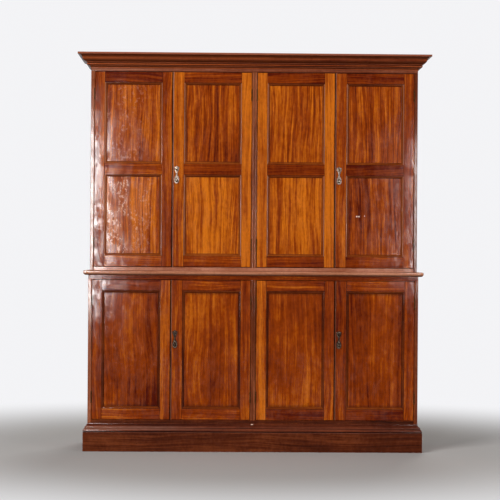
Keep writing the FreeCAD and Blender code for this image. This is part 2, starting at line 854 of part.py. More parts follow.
def door_frame(stage, kind):
    label = f"{stage}_{kind}"
    wide = f"{stage}_{kind}"
    tall = f"{stage}_leaf_height"
    left_width = left_stile_width(kind)
    right_edge = f"({left_width} + {stage}_sight_width)"
    slot_y = ("panel_setback", "panel_thick")
    cutters = {"left": [], "right": []}
    cutters["left"].append(
        box(
            f"{label}_left_groove",
            (f"{left_width} - groove_depth", slot_y[0], "-overrun"),
            ("groove_depth + overrun", slot_y[1], f"{tall} + 2*overrun"),
        )
    )
    cutters["right"].append(
        box(
            f"{label}_right_groove",
            (f"{right_edge} - overrun", slot_y[0], "-overrun"),
            ("groove_depth + overrun", slot_y[1], f"{tall} + 2*overrun"),
        )
    )
    rails = []
    for name, foot, height in rail_rows(stage):
        rail_label = f"{label}_{name}_rail"
        tenon_foot = f"{foot} + groove_depth"
        tenon_height = f"{height} - 2*groove_depth"
        blank = box(
            f"{rail_label}_blank",
            (left_width, "0", foot),
            (f"{stage}_sight_width", "door_thick", height),
        )
        tenon = box(
            f"{rail_label}_tenon",
            (f"{left_width} - tenon_length", slot_y[0], tenon_foot),
            (f"{stage}_sight_width + 2*tenon_length", slot_y[1], tenon_height),
        )
        grooves = []
        if name != "top":
            grooves.append(f"{foot} + {height} - groove_depth")
        if name != "bottom":
            grooves.append(f"{foot} - overrun")
        groove_boxes = []
        for index, start in enumerate(grooves):
            groove_boxes.append(
                box(
                    f"{rail_label}_groove_{index}",
                    (f"{left_width} - overrun", slot_y[0], start),
                    (f"{stage}_sight_width + 2*overrun", slot_y[1], "groove_depth + overrun"),
                )
            )
        grooved = cut(f"{rail_label}_grooved", blank, groove_boxes)
        rails.append(join(rail_label, [grooved, tenon]))
        cutters["left"].append(
            box(
                f"{rail_label}_left_mortise",
                (f"{left_width} - tenon_length", slot_y[0], tenon_foot),
                ("tenon_length + overrun", slot_y[1], tenon_height),
            )
        )
        cutters["right"].append(
            box(
                f"{rail_label}_right_mortise",
                (f"{right_edge} - overrun", slot_y[0], tenon_foot),
                ("tenon_length + overrun", slot_y[1], tenon_height),
            )
        )
    right_blank = box(f"{label}_right_blank", (right_edge, "0", "0"), ("stile_width", "door_thick", tall))
    if kind == "passive":
        left_blank = box(f"{label}_left_blank", ("0", "0", "0"), ("stile_width", "door_thick", tall))
        pin_x = "-hinge_gap/2"
        cutters["left"] += gain_cutters(f"{label}_gain", stage, 1, pin_x, "-pin_proud", "0")
        bolt_place = (f"{wide} - flush_bolt_depth - bolt_clear", "0", f"{tall} - flush_groove_length")
        bolt_groove = profile(
            f"{label}_bolt_groove",
            "XY",
            [flush_bolt_loop("bolt_clear")],
            "flush_groove_length + overrun",
            bolt_place,
        )
        cutters["right"].append(bolt_groove)
    else:
        bead_loop = [
            ("0", "bead_radius", quarter_share),
            ("bead_radius", "0", quarter_share),
            ("2*bead_radius", "bead_radius", 0),
            ("bead_width", "bead_radius", 0),
            ("bead_width", "0", 0),
            (left_width, "0", 0),
            (left_width, "door_thick", 0),
            ("0", "door_thick", 0),
        ]
        left_blank = profile(f"{label}_left_blank", "XY", [bead_loop], tall)
        pin_x = f"{wide} + hinge_gap/2"
        cutters["right"] += gain_cutters(f"{label}_gain", stage, -1, pin_x, "-pin_proud", "0")
        cutters["left"].append(key_slot(f"{label}_key_slot", stage))
    left = cut(f"{label}_left_stile", left_blank, cutters["left"])
    right = cut(f"{label}_right_stile", right_blank, cutters["right"])
    return [left, right] + rails


def door_panels(stage, kind):
    left_width = left_stile_width(kind)
    feet = ["bottom_rail"]
    if stage == "upper":
        feet.append("bottom_rail + upper_sight_height + lock_rail")
    label = f"{stage}_{kind}_panel_place"
    placed = []
    for index, foot in enumerate(feet):
        placed.append(group(f"{label}_{index}", panel_sets[stage], (left_width, "0", foot)))
    return placed


def door_hinge_leaves(stage, kind):
    moving = moving_leaf[hung[kind]]
    pin_x = "-hinge_gap/2" if kind == "passive" else f"{stage}_active + hinge_gap/2"
    leaves = []
    for index, height in enumerate(hinge_feet(stage)):
        leaves.append(group(f"{stage}_{kind}_moving_{index}", [moving], (pin_x, "-pin_proud", height)))
    return leaves


# Handle plate: a pierced plate with two cheeks that hold the pin of the drop
plate_loop = share_loop(plate_shares, "plate_width", "plate_height")
plate_blank = profile("plate_blank", "XZ", [plate_loop], "plate_thick")
pivot = ("plate_width/2", "-drop_pivot_out", f"{pivot_share}*plate_height")
cheeks = []
cheek_starts = {
    "left": "plate_width/2 - eye_width/2 - cheek_clear - cheek_thick",
    "right": "plate_width/2 + eye_width/2 + cheek_clear",
}
for hand, start in cheek_starts.items():
    foot = (start, "-drop_pivot_out - eye_half", f"{pivot[2]} - eye_half")
    cheeks.append(box(f"{hand}_cheek", foot, ("cheek_thick", "drop_pivot_out + eye_half", "2*eye_half")))
fork_width = "eye_width + 2*cheek_clear + 2*cheek_thick"
fork_left = cheek_starts["left"]
keyhole_height = f"{keyhole_share}*plate_height"
keyhole_place = ("plate_width/2", "-2*overrun", keyhole_height)
plate_holes = [
    rod("plate_keyhole", keyhole_place, "keyhole_radius", "3*overrun", along="y"),
    box(
        "plate_keyhole_slot",
        ("plate_width/2 - keyhole_slot/2", "-2*overrun", f"{keyhole_height} - keyhole_length"),
        ("keyhole_slot", "3*overrun", "keyhole_length"),
    ),
]
drop_pin = rod("drop_pin", (fork_left,) + pivot[1:], "drop_pin_radius", fork_width, along="x")
handle_plate = cut("handle_plate", join("plate_and_fork", [plate_blank, drop_pin] + cheeks), plate_holes)

# Drop handle: a flat pear-shaped drop with an eye that hangs between the cheeks
drop_loop = share_loop(drop_shares, "drop_width", "drop_length")
drop_place = (
    "(plate_width - drop_width)/2",
    "drop_thick/2 - drop_pivot_out",
    f"{pivot[2]} - drop_length",
)
drop_blank = profile("drop_blank", "XZ", [drop_loop], "drop_thick", drop_place)
drop_eye = box(
    "drop_eye",
    ("plate_width/2 - eye_width/2", "-drop_pivot_out - eye_half", f"{pivot[2]} - eye_half"),
    ("eye_width", "2*eye_half", "2*eye_half"),
)
drop_bore_radius = "drop_pin_radius + drop_pin_clear"
drop_bore = rod("drop_bore", (fork_left,) + pivot[1:], drop_bore_radius, fork_width, along="x")
drop_body = cut("drop_handle", join("drop_and_eye", [drop_blank, drop_eye]), [drop_bore])


# Lock case on the back of the stile, with a tunnel for its bolt. The foot of the case is at zero.
lock_case_size = ("lock_width", "lock_depth", "lock_height")
lock_case_blank = box("lock_case_blank", ("lock_inset", "door_thick", "0"), lock_case_size)
tunnel_foot = f"{lock_bolt_share}*lock_height"
bolt_back = "door_thick + (lock_depth - lock_bolt_thick)/2"
lock_tunnel = box(
    "lock_tunnel",
    ("lock_inset - overrun", f"{bolt_back} - bolt_clear", f"{tunnel_foot} - bolt_clear"),
    (
        "overrun + lock_tunnel_length",
        "lock_bolt_thick + 2*bolt_clear",
        "lock_bolt_height + 2*bolt_clear",
    ),
)
lock_case = cut("lock_case", lock_case_blank, [lock_tunnel])
lock_bolt = box(
    "lock_bolt",
    ("lock_inset", bolt_back, tunnel_foot),
    ("lock_bolt_length", "lock_bolt_thick", "lock_bolt_height"),
)

# Flush bolt: a dovetailed bar in the meeting edge of a passive door. The foot of the bar is at zero.
flush_bolt = profile("flush_bolt", "XY", [flush_bolt_loop("0")], "flush_bolt_length")


# The eight doors, each placed by its lower left front corner, with what it carries
for stage in ("lower", "upper"):
    frames = {kind: door_frame(stage, kind) for kind in ("passive", "active")}
    panels = {kind: door_panels(stage, kind) for kind in ("passive", "active")}
    leaves = {kind: door_hinge_leaves(stage, kind) for kind in ("passive", "active")}
    for number, kind in door_kinds.items():
        left = door_left(stage, number)
        front = f"{stage}_front"
        foot = f"{stage}_floor + door_gap"
        label = f"{stage}_door_{number}"
        node(f"{label}_frame", frames[kind], (left, front, foot))
        node(f"{label}_panels", panels[kind], (left, front, foot))
        node(f"{label}_hinge_leaves", leaves[kind], (left, front, foot))
        if kind == "passive":
            bolt_left = f"{left} + {stage}_passive - flush_bolt_depth"
            bolt_foot = f"{foot} + {stage}_leaf_height - flush_bolt_length"
            node(f"{label}_flush_bolt", [flush_bolt], (bolt_left, front, bolt_foot))
            continue
        plate_left = f"{left} + handle_offset - plate_width/2"
        plate_foot = f"{foot} + {stage}_handle_height - plate_height/2"
        node(f"{label}_handle_plate", [handle_plate], (plate_left, front, plate_foot))
        node(f"{label}_drop_handle", [drop_body], (plate_left, front, plate_foot))
        lock_foot = f"{plate_foot} + {keyhole_share}*plate_height - lock_height/2"
        node(f"{label}_lock_case", [lock_case], (left, front, lock_foot))
        node(f"{label}_lock_bolt", [lock_bolt], (left, front, lock_foot))

doc.recompute()

# Every object has to be sound before anything is written
for item in doc.Objects:
    if "Invalid" in item.State or "Error" in item.State:
        raise RuntimeError(f"{item.Label} failed: {item.State}")
for item in nodes:
    if item.Shape.isNull() or not item.Shape.isValid() or not item.Shape.Solids:
        raise RuntimeError(f"{item.Label} has no sound solid")

os.makedirs("parts", exist_ok=True)
for item in nodes:
    item.Shape.exportStep(f"parts/{item.Label}.step")
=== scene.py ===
import json
import math
import random

import bmesh
import bpy
from mathutils import Matrix, Vector

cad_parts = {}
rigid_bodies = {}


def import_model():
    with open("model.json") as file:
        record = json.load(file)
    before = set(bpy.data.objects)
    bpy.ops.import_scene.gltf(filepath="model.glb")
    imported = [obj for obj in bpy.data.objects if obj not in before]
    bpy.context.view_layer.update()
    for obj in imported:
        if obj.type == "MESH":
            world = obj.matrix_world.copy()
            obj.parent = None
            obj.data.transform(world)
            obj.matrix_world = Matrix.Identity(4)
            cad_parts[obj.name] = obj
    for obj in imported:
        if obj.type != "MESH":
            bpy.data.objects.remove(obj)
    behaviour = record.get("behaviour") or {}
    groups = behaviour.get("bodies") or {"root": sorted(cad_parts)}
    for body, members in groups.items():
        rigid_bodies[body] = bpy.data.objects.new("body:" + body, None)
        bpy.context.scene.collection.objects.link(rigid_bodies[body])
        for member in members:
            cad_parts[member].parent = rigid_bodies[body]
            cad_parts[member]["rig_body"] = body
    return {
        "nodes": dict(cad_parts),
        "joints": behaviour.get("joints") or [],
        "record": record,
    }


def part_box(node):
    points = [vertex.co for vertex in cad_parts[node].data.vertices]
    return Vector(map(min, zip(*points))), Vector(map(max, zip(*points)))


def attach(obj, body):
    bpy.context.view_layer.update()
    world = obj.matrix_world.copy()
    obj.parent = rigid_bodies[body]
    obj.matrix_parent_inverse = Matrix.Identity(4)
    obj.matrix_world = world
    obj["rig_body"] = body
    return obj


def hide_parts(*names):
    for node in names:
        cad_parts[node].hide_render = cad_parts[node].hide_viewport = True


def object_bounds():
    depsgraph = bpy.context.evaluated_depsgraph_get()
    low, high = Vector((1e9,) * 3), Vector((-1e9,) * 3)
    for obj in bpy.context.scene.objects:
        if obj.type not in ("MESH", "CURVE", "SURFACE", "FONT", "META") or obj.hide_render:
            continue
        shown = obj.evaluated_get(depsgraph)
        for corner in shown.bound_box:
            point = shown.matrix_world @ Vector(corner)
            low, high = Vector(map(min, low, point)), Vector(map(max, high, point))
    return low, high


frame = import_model()
cad_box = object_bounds()

# Plinth boards
# Dark mahogany boards along the front and the sides, mitred at the front corners, with a plain
# board behind. They are glued to the bearers, polished, and worn pale along their edges.

grain_seed = 11
chance = random.Random(grain_seed)
place_digits = 6
flat_angle = math.radians(1)
smooth_angle = math.radians(40)
square_corner = math.radians(90)
hair = 0.00002
square_enough = 0.9995
nearly_along = 0.9
arris_steps = 3
grain_shift = 9
flat_kind, round_kind, edge_kind, front_kind = range(4)


def solids_of(node):
    """The separate solids of a CAD node: its loose triangles, gathered until each skin closes."""
    mesh = frame["nodes"][node].data
    places = [tuple(round(part, place_digits) for part in vertex.co) for vertex in mesh.vertices]
    skins = []
    skin = []
    open_edges = set()
    for face in mesh.polygons:
        corners = [places[index] for index in face.vertices]
        skin.append(corners)
        for start, end in zip(corners, corners[1:] + corners[:1]):
            if (end, start) in open_edges:
                open_edges.remove((end, start))
            else:
                open_edges.add((start, end))
        if not open_edges:
            skins.append(skin)
            skin = []
    return skins


def box_of(points):
    """Lowest and highest corner of some points."""
    low = Vector([min(point[axis] for point in points) for axis in range(3)])
    high = Vector([max(point[axis] for point in points) for axis in range(3)])
    return low, high


def on_box_edge(edge, low, high):
    """Whether an edge lies along one of the twelve edges of its board's box."""
    held = 0
    for axis in range(3):
        ends = [vertex.co[axis] for vertex in edge.verts]
        for limit in (low[axis], high[axis]):
            held += all(abs(end - limit) < hair for end in ends)
    return held == 2


def shaped(skin, arris):
    """One solid as clean flat faces, with its outer edges rounded by the arris. Each face is marked
    with its kind."""
    board = bmesh.new()
    corners = {place: board.verts.new(place) for place in dict.fromkeys(sum(skin, []))}
    for triangle in skin:
        board.faces.new([corners[place] for place in triangle])
    bmesh.ops.dissolve_limit(board, angle_limit=flat_angle, verts=board.verts[:], edges=board.edges[:])
    board.normal_update()
    for face in board.faces:
        square = max(abs(part) for part in face.normal) >= square_enough
        face.material_index = flat_kind if square else round_kind
    if arris:
        low, high = box_of(list(corners))
        edges = [edge for edge in board.edges if on_box_edge(edge, low, high)]
        bmesh.ops.bevel(
            board,
            geom=edges,
            offset=arris,
            offset_type="OFFSET",
            segments=arris_steps,
            profile=0.5,
            affect="EDGES",
            material=edge_kind,
            clamp_overlap=False,
        )
        board.normal_update()
    return board


def hollow_at(vertex, run):
    """How sharp a hollow is along the run of a moulding: 1 in a square corner, -1 on an arris."""
    turns = [0.0]
    for edge in vertex.link_edges:
        course = (edge.verts[1].co - edge.verts[0].co).normalized()
        if abs(course[run]) > nearly_along:
            turns.append(edge.calc_face_angle_signed(0.0))
    return -max(turns, key=abs) / square_corner


def settle(piece, node):
    """A finished piece rides with the CAD node that it stands for, and takes its place."""
    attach(piece, frame["nodes"][node]["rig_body"])
    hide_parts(node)


def dress(node, coats, arris=0.0, rounds=None, edges=None, fronts=(None,), wear=(0.0,)):
    """Stands a finished copy of a CAD node in its place. Each solid has a finish and a tone from
    the list of coats and an amount of wear, taken in turn, and its own grain along its longest
    side. Its round faces can have a finish of their own, and so can its front, and its arris with
    the node's outer edges. A solid without an arris keeps its profile, and its mesh says how
    hollow each point of it is."""
    points = []
    faces = []
    facings = []
    face_finishes = []
    layers = {"grain": [], "share": [], "mood": []}
    node_low, node_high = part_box(node)
    every_finish = [finish for finish, tone in coats] + [rounds, edges, *fronts]
    finishes = [finish for finish in dict.fromkeys(every_finish) if finish]
    for index, skin in enumerate(solids_of(node)):
        finish, tone = coats[index % len(coats)]
        board = shaped(skin, arris)
        board.verts.index_update()
        low, high = box_of([vertex.co for vertex in board.verts])
        half = (high - low) / 2
        run = sorted(range(3), key=lambda axis: -half[axis])
        shift = Vector([chance.uniform(-grain_shift, grain_shift) for axis in range(3)])
        first = len(points)
        for vertex in board.verts:
            place = vertex.co - (low + high) / 2
            points.append(vertex.co.copy())
            layers["grain"] += [place[axis] + shift[turn] for turn, axis in enumerate(run)]
            layers["share"] += [place[axis] / half[axis] for axis in run]
            hollow = 0.0 if arris else hollow_at(vertex, run[0])
            layers["mood"] += [tone, hollow, wear[index % len(wear)]]
        faces += [[first + vertex.index for vertex in face.verts] for face in board.faces]
        kinds = (finish, rounds or finish, edges or finish, fronts[index % len(fronts)] or finish)
        for face in board.faces:
            facings += list(face.normal) * len(face.verts)
            middle = face.calc_center_median()
            limits = (node_low, node_high)
            gaps = [abs(middle[axis] - limit[axis]) for axis in (0, 2) for limit in limits]
            kind = face.material_index
            if edges and min(gaps) < hair:
                kind = edge_kind
            if face.normal.y < -square_enough:
                kind = front_kind
            face_finishes.append(finishes.index(kinds[kind]))
        board.free()
    mesh = bpy.data.meshes.new(node + "_finished")
    mesh.from_pydata(points, [], faces)
    for name, numbers in layers.items():
        mesh.attributes.new(name, "FLOAT_VECTOR", "POINT").data.foreach_set("vector", numbers)
    mesh.attributes.new("facing", "FLOAT_VECTOR", "CORNER").data.foreach_set("vector", facings)
    for finish in finishes:
        mesh.materials.append(finish)
    mesh.polygons.foreach_set("material_index", face_finishes)
    mesh.shade_smooth()
    mesh.set_sharp_from_angle(angle=smooth_angle)
    piece = bpy.data.objects.new(mesh.name, mesh)
    bpy.context.scene.collection.objects.link(piece)
    even = piece.modifiers.new("even_shading", "WEIGHTED_NORMAL")
    even.keep_sharp = True
    settle(piece, node)


class Wire:
    """A socket of a node tree. Arithmetic on it adds Math nodes."""

    def __init__(self, tree, socket=None):
        self.tree = tree
        self.socket = socket

    def node(self, kind, settings=None, sockets=None, out=0):
        """Adds a node: its settings first, then the values or links of its sockets."""
        added = self.tree.nodes.new(kind)
        for name, setting in (settings or {}).items():
            if name != "stops":
                setattr(added, name, setting)
                continue
            stops = added.color_ramp.elements
            while len(stops) < len(setting):
                stops.new(1.0)
            for stop, (place, colour) in zip(stops, setting):
                stop.position = place
                stop.color = colour
        for name, given in (sockets or {}).items():
            if isinstance(given, Wire):
                self.tree.links.new(given.socket, added.inputs[name])
            else:
                added.inputs[name].default_value = given
        return Wire(self.tree, added.outputs[out]) if added.outputs else None

    def other(self, out):
        """Another output of the same node."""
        return Wire(self.tree, self.socket.node.outputs[out])

    def math(self, operation, *values):
        """A Math node."""
        return self.node("ShaderNodeMath", {"operation": operation}, dict(enumerate(values)))

    def __add__(self, value):
        return self.math("ADD", self, value)

    def __sub__(self, value):
        return self.math("SUBTRACT", self, value)

    def __rsub__(self, value):
        return self.math("SUBTRACT", value, self)

    def __mul__(self, value):
        return self.math("MULTIPLY", self, value)

    __radd__ = __add__
    __rmul__ = __mul__

    def rise(self, low, high):
        """A smooth step from 0 at low to 1 at high."""
        settings = {"interpolation_type": "SMOOTHSTEP"}
        return self.node("ShaderNodeMapRange", settings, {0: self, 1: low, 2: high})

    def swing(self, amount):
        """A noise, which lies about a half, as a swing about zero."""
        return (self - 0.5) * amount

    def attribute(self, name):
        """A vector that the mesh carries."""
        return self.node("ShaderNodeAttribute", {"attribute_name": name}, out="Vector")

    def parts(self):
        """The first part of a vector. The second and the third are its other outputs."""
        return self.node("ShaderNodeSeparateXYZ", None, {0: self})

    def vector(self, *parts):
        """A vector put together from its parts."""
        return self.node("ShaderNodeCombineXYZ", None, dict(enumerate(parts)))

    def pattern(self, repeats, detail, rough=0.5):
        """Noise over a vector, with its own repeats in a metre for each part."""
        spread = self.node("ShaderNodeVectorMath", {"operation": "MULTIPLY"}, {0: self, 1: repeats})
        sockets = {"Vector": spread, "Scale": 1.0, "Detail": detail, "Roughness": rough}
        return self.node("ShaderNodeTexNoise", None, sockets)

    def between(self, first, second):
        """A colour between two others, sockets 6 and 7 of a Mix node: the second where this is 1."""
        return self.node("ShaderNodeMix", {"data_type": "RGBA"}, {0: self, 6: first, 7: second}, out=2)

    def mix(self, colour, mask, strength):
        """This colour turned towards another one where the mask lies."""
        return (mask * strength).between(self, colour)

    def bump(self, strength, distance):
        """A normal that shows this height."""
        sockets = {"Strength": strength, "Distance": distance, "Height": self}
        return self.node("ShaderNodeBump", None, sockets)

    def surface(self, sockets):
        """Ends a material with a Principled shader."""
        shine = self.node("ShaderNodeBsdfPrincipled", None, sockets)
        self.node("ShaderNodeOutputMaterial", None, {"Surface": shine})


def new_finish(name):
    """An empty material, and a wire to build it from."""
    finish = bpy.data.materials.new(name)
    finish.use_nodes = True
    finish.node_tree.nodes.clear()
    return finish, Wire(finish.node_tree)


def tint(red, green, blue):
    """A colour as a screen shows it, from 0 to 255, turned into light values by the sRGB curve."""
    light = []
    for part in (red, green, blue):
        share = part / 255
        light.append(share / 12.92 if share <= 0.04045 else ((share + 0.055) / 1.055) ** 2.4)
    return (*light, 1.0)


# Dark colour of open pores and bruises, and of painted shade in hollows, quirks, gaps and under faces.
grime_and_shade = tint(30, 8, 2)
scar_tint = tint(232, 188, 158)


def wood(
    name,
    tints,
    ribbon=1.0,
    fine=1.0,
    cloud=1.0,
    fade=0.0,
    polish=0.5,
    patchy=False,
    wear_and_highlight=None,
    under=0.7,
    rim=None,
    quirk=None,
    shaded_left_flank=False,
    bands=(),
):
    """Wood in three tints, dark to bright, with grain along each board: broad ribbons, a fine flame,
    flecks and open pores. Ribbon, fine and cloud say how strong the figure, its fibres and the
    cloudy patches are, and fade how much lighter the board grows from end to end. Polish is the
    gloss, rubbed through in places where it is patchy. The tint for arrises, where one is given, is
    wear and a painted highlight on convex edges. Painted shade darkens hollows and under faces, the
    latter as strong as under says, and if asked a panel's rim, a moulding's quirk or a bead's left
    flank. A band is a painted shade or highlight between two heights, with its strength on the left
    and on the right. Bruises are everywhere, scuffs and scratches only on a board with wear."""
    finish, start = new_finish(name)
    place = start.node("ShaderNodeTexCoord", out="Object")
    across = place.parts()
    level = across.other(2)
    grain = start.attribute("grain")
    along = grain.parts()
    shares = start.attribute("share").parts()
    tone = start.attribute("mood").parts()
    hollow = tone.other(1)
    wear = tone.other(2)
    facing = start.attribute("facing").parts()
    upward = facing.other(2)

    lean = 0.4
    wander = grain.pattern((1.3, 5.0, 5.0), detail=2.0)
    bent = along.other(1) + wander.swing(0.09)
    bent_grain = start.vector(along, bent, along.other(2))
    leaning_grain = start.vector(along + bent * lean, bent, along.other(2))
    stripes = bent_grain.pattern((1.3, 48, 48), detail=3.0, rough=0.6)
    flame = leaning_grain.pattern((3.4, 130, 130), detail=3.0)
    flecks = leaning_grain.pattern((11, 330, 330), detail=1.0)
    pores = bent_grain.pattern((50, 1300, 1300), detail=0.0).rise(0.60, 0.72)
    patches = place.pattern((2.6, 2.6, 1.8), detail=2.0)
    blotches = place.pattern((36, 36, 20), detail=3.0)
    mottles = place.pattern((80, 80, 48), detail=2.0)
    fibres = flame.swing(0.8) + flecks.swing(0.5)
    figure = stripes.swing(1.1) + fibres * fine + mottles.swing(0.3)
    clouds = patches.swing(0.7) + blotches.swing(0.25)
    middle_light = 0.5
    lightness = figure * ribbon + clouds * cloud + middle_light + tone
    if fade:
        lightness = lightness + shares * fade
    stops = list(zip((0.05, middle_light, 0.95), tints))
    colour = start.node("ShaderNodeValToRGB", {"stops": stops}, {0: lightness})

    colour = colour.mix(grime_and_shade, pores, strength=0.35)
    # Painted shade round the rim of a panel, next to its moulding.
    if rim:
        ends = start.math("ABSOLUTE", shares).rise(*rim[0])
        sides = start.math("ABSOLUTE", shares.other(1)).rise(*rim[1])
        colour = colour.mix(grime_and_shade, start.math("MAXIMUM", ends, sides), strength=0.35)
    # Painted shade in a moulding's quirk, darker towards its back by the panel.
    if quirk:
        colour = colour.mix(grime_and_shade, shares.other(2).rise(*quirk), strength=0.4)
    # A pale tint on convex arrises, but not on faces that look up: wear and a painted highlight.
    if wear_and_highlight:
        arris = (hollow * -1.0).rise(0.05, 0.5) * upward.rise(0.95, 0.8)
        colour = colour.mix(wear_and_highlight, arris, strength=0.6)
    # Painted shade in hollows and on faces that look down.
    colour = colour.mix(grime_and_shade, hollow.rise(0.3, 0.8), strength=0.9)
    colour = colour.mix(grime_and_shade, upward.rise(-0.1, -0.7), strength=under)
    # Painted shade on faces that look left, such as a bead's flank in the gap between doors.
    if shaded_left_flank:
        colour = colour.mix(grime_and_shade, facing.rise(0.0, -0.5), strength=0.9)
    # Bands of painted shade or highlight between two heights, with their own strength towards the left.
    band_edge = 0.001
    band_ground = 0.6
    for low, high, band_tint, left, right in bands:
        above = level.rise(low - band_edge, low + band_edge)
        below = level.rise(high + band_edge, high - band_edge)
        uneven = above * below * (blotches * band_ground + band_ground)
        colour = colour.mix(band_tint, uneven, strength=across.rise(-0.1, -0.7) * (left - right) + right)
    bruises = place.pattern((55, 55, 90), detail=3.0).rise(0.70, 0.76)
    colour = colour.mix(grime_and_shade, bruises, strength=0.4)
    scratch_lean = 3.0
    scratch_turn = 0.3
    clusters = place.pattern((15, 15, 9), detail=2.0).rise(0.42, 0.58)
    scuffs = place.pattern((72, 72, 52), detail=4.0, rough=0.6).rise(0.54, 0.60) * clusters
    scratched = start.vector(along + bent * scratch_lean, bent - along * scratch_turn)
    scratches = scratched.pattern((14, 420, 1), detail=1.0).rise(0.70, 0.76)
    outside = shares.other(1).rise(0.9, -0.5) * shares.other(2).rise(0.0, -0.5)
    scars = start.math("MAXIMUM", scuffs, scratches) * wear * outside
    colour = colour.mix(scar_tint, scars, strength=0.8)

    blotch_gloss = 0.5
    mottle_gloss = 0.3
    least_gloss = 0.35
    coat = blotches.rise(0.34, 0.66) * blotch_gloss + mottles.rise(0.32, 0.68) * mottle_gloss + least_gloss
    if patchy:
        patch_gloss = 1.4
        speck_gloss = 0.6
        rubbed = place.pattern((26, 26, 12), detail=5.0, rough=0.75).rise(0.42, 0.6)
        specks = place.pattern((170, 170, 110), detail=2.0).rise(0.35, 0.65)
        coat = coat * (rubbed * patch_gloss + specks * speck_gloss)
    stripe_rise = 0.3
    fleck_dip = 0.03
    pore_dip = 0.04
    bruise_dip = 0.2
    height = stripes * stripe_rise + blotches - flecks * fleck_dip - pores * pore_dip - bruises * bruise_dip
    middle_roughness = 0.5
    start.surface(
        {
            "Base Color": colour,
            "Roughness": blotches.swing(0.2) + middle_roughness,
            "Specular IOR Level": 0.02,
            "Coat Weight": coat * polish,
            "Coat Roughness": 0.09,
            "Normal": height.bump(strength=0.12, distance=0.0008),
        }
    )
    return finish


dark_mahogany = wood(
    "dark_mahogany",
    (tint(40, 11, 2), tint(84, 32, 10), tint(128, 62, 28)),
    ribbon=0.9,
    fade=-0.1,
    polish=0.25,
    wear_and_highlight=tint(146, 84, 66),
)
worn_edge_tints = (tint(84, 34, 20), tint(122, 64, 44), tint(160, 100, 78))
worn_dark_edge = wood("worn_dark_edge", worn_edge_tints, ribbon=0.7)
dress("plinth_boards", [(dark_mahogany, 0.02)], arris=0.0014, edges=worn_dark_edge)

# Plinth bearers
# Sawn pine frame inside the plinth, nailed at its corners. It stands on the floor and carries
# the lower carcass, and only its under side is ever seen.

pine_tints = (tint(120, 84, 48), tint(166, 124, 76), tint(196, 158, 106))
bare_pine = wood("bare_pine", pine_tints, ribbon=0.6, polish=0.0)
dress("plinth_bearers", [(bare_pine, -0.1)], arris=0.0006)

# Base moulding
# Three lengths of run mahogany moulding on top of the plinth, mitred at the front corners, glued
# and pinned. Painted shade darkens its hollows, its foot and a band near its top, and a pale
# painted highlight lies along its middle, stronger on the left.

base_low, base_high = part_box("base_moulding")


def base_height(share):
    """A height on the base moulding, from 0 at its foot to 1 at its top."""
    return base_low[2] + (base_high[2] - base_low[2]) * share


# Painted shade at the foot and near the top, and a painted highlight along the middle.
base_shade_and_highlight_bands = [
    (base_height(-0.1), base_height(0.15), tint(24, 8, 4), 0.9, 0.9),
    (base_height(0.24), base_height(0.66), tint(158, 106, 88), 0.6, 0.1),
    (base_height(0.72), base_height(0.92), tint(40, 14, 8), 0.6, 0.4),
]
polished_dark = wood(
    "polished_dark",
    (tint(42, 10, 2), tint(84, 30, 10), tint(128, 58, 28)),
    ribbon=0.8,
    fade=-0.1,
    bands=base_shade_and_highlight_bands,
)
dress("base_moulding", [(polished_dark, 0.11)])

# Lower carcass
# Mahogany sides, bottom, top and division, housed and glued. The division's front edge is a post
# with two reeds, and the doors' hinges are let into the sides and the post.

mahogany_tints = (tint(86, 18, 0), tint(146, 57, 3), tint(210, 111, 20))
side_tints = (tint(96, 40, 18), tint(150, 80, 48), tint(196, 132, 104))
post_tints = (tint(70, 24, 8), tint(116, 54, 26), tint(164, 92, 56))
mahogany = wood("mahogany", mahogany_tints, polish=0.25)
side_mahogany = wood("side_mahogany", side_tints, ribbon=0.7)
post_mahogany = wood("post_mahogany", post_tints, ribbon=0.8, polish=0.3)
dress("lower_sides", [(mahogany, -0.05)], arris=0.0015, fronts=[side_mahogany, post_mahogany])
dress(
    "lower_top_and_bottom",
    [(mahogany, -0.1), (mahogany, -0.15)],
    arris=0.0008,
    fronts=[dark_mahogany, None],
)
dress("lower_division", [(mahogany, -0.1), (post_mahogany, 0.0)])

# Waist
# Three lengths of thumb-moulded mahogany between the two stages, mitred at the front corners, and
# a plain pine rail behind. They are glued together. The mahogany has a pale tone as a painted
# highlight where light falls from above, and its moulded edge a paler arris tint that is wear and
# a painted highlight.

waist_highlight_tints = (tint(96, 38, 14), tint(152, 84, 50), tint(200, 134, 102))
waist_mahogany = wood("waist_mahogany", waist_highlight_tints, ribbon=0.7, wear_and_highlight=tint(200, 146, 118))
dress("waist_moulding", [(waist_mahogany, 0.3)] * 3 + [(bare_pine, 0.0)])

# Upper carcass
# Mahogany sides, bottom, top and division, housed and glued, with a reeded post as in the lower
# carcass. The front of the top is pale as a painted highlight and darker in its lower half as
# painted shade, and the arrises of the top and the bottom take the dark mahogany as painted shade.

dress("upper_sides", [(mahogany, -0.05)], arris=0.0015, fronts=[side_mahogany, post_mahogany])
top_low, top_high = box_of(sum(solids_of("upper_top_and_bottom")[1], []))
# The top's front: pale as a painted highlight, its lower half painted shade.
top_front_shade_bands = [(top_low[2], (top_low[2] + top_high[2]) / 2, tint(84, 30, 12), 0.6, 0.6)]
top_mahogany = wood(
    "top_mahogany",
    (tint(78, 28, 10), tint(132, 68, 42), tint(178, 112, 84)),
    ribbon=0.7,
    fade=-0.15,
    polish=0.3,
    bands=top_front_shade_bands,
)
# The arrises take the dark mahogany as painted shade.
dress(
    "upper_top_and_bottom",
    [(side_mahogany, 0.3), (side_mahogany, 0.1)],
    arris=0.0015,
    edges=dark_mahogany,
    fronts=[side_mahogany, top_mahogany],
)
dress("upper_division", [(mahogany, -0.1), (post_mahogany, 0.2)])

# Back boards, shelves and strips
# Lapped pine boards nailed upright behind both stages, and pine shelves that lie loose on strips
# nailed to the sides and the division.

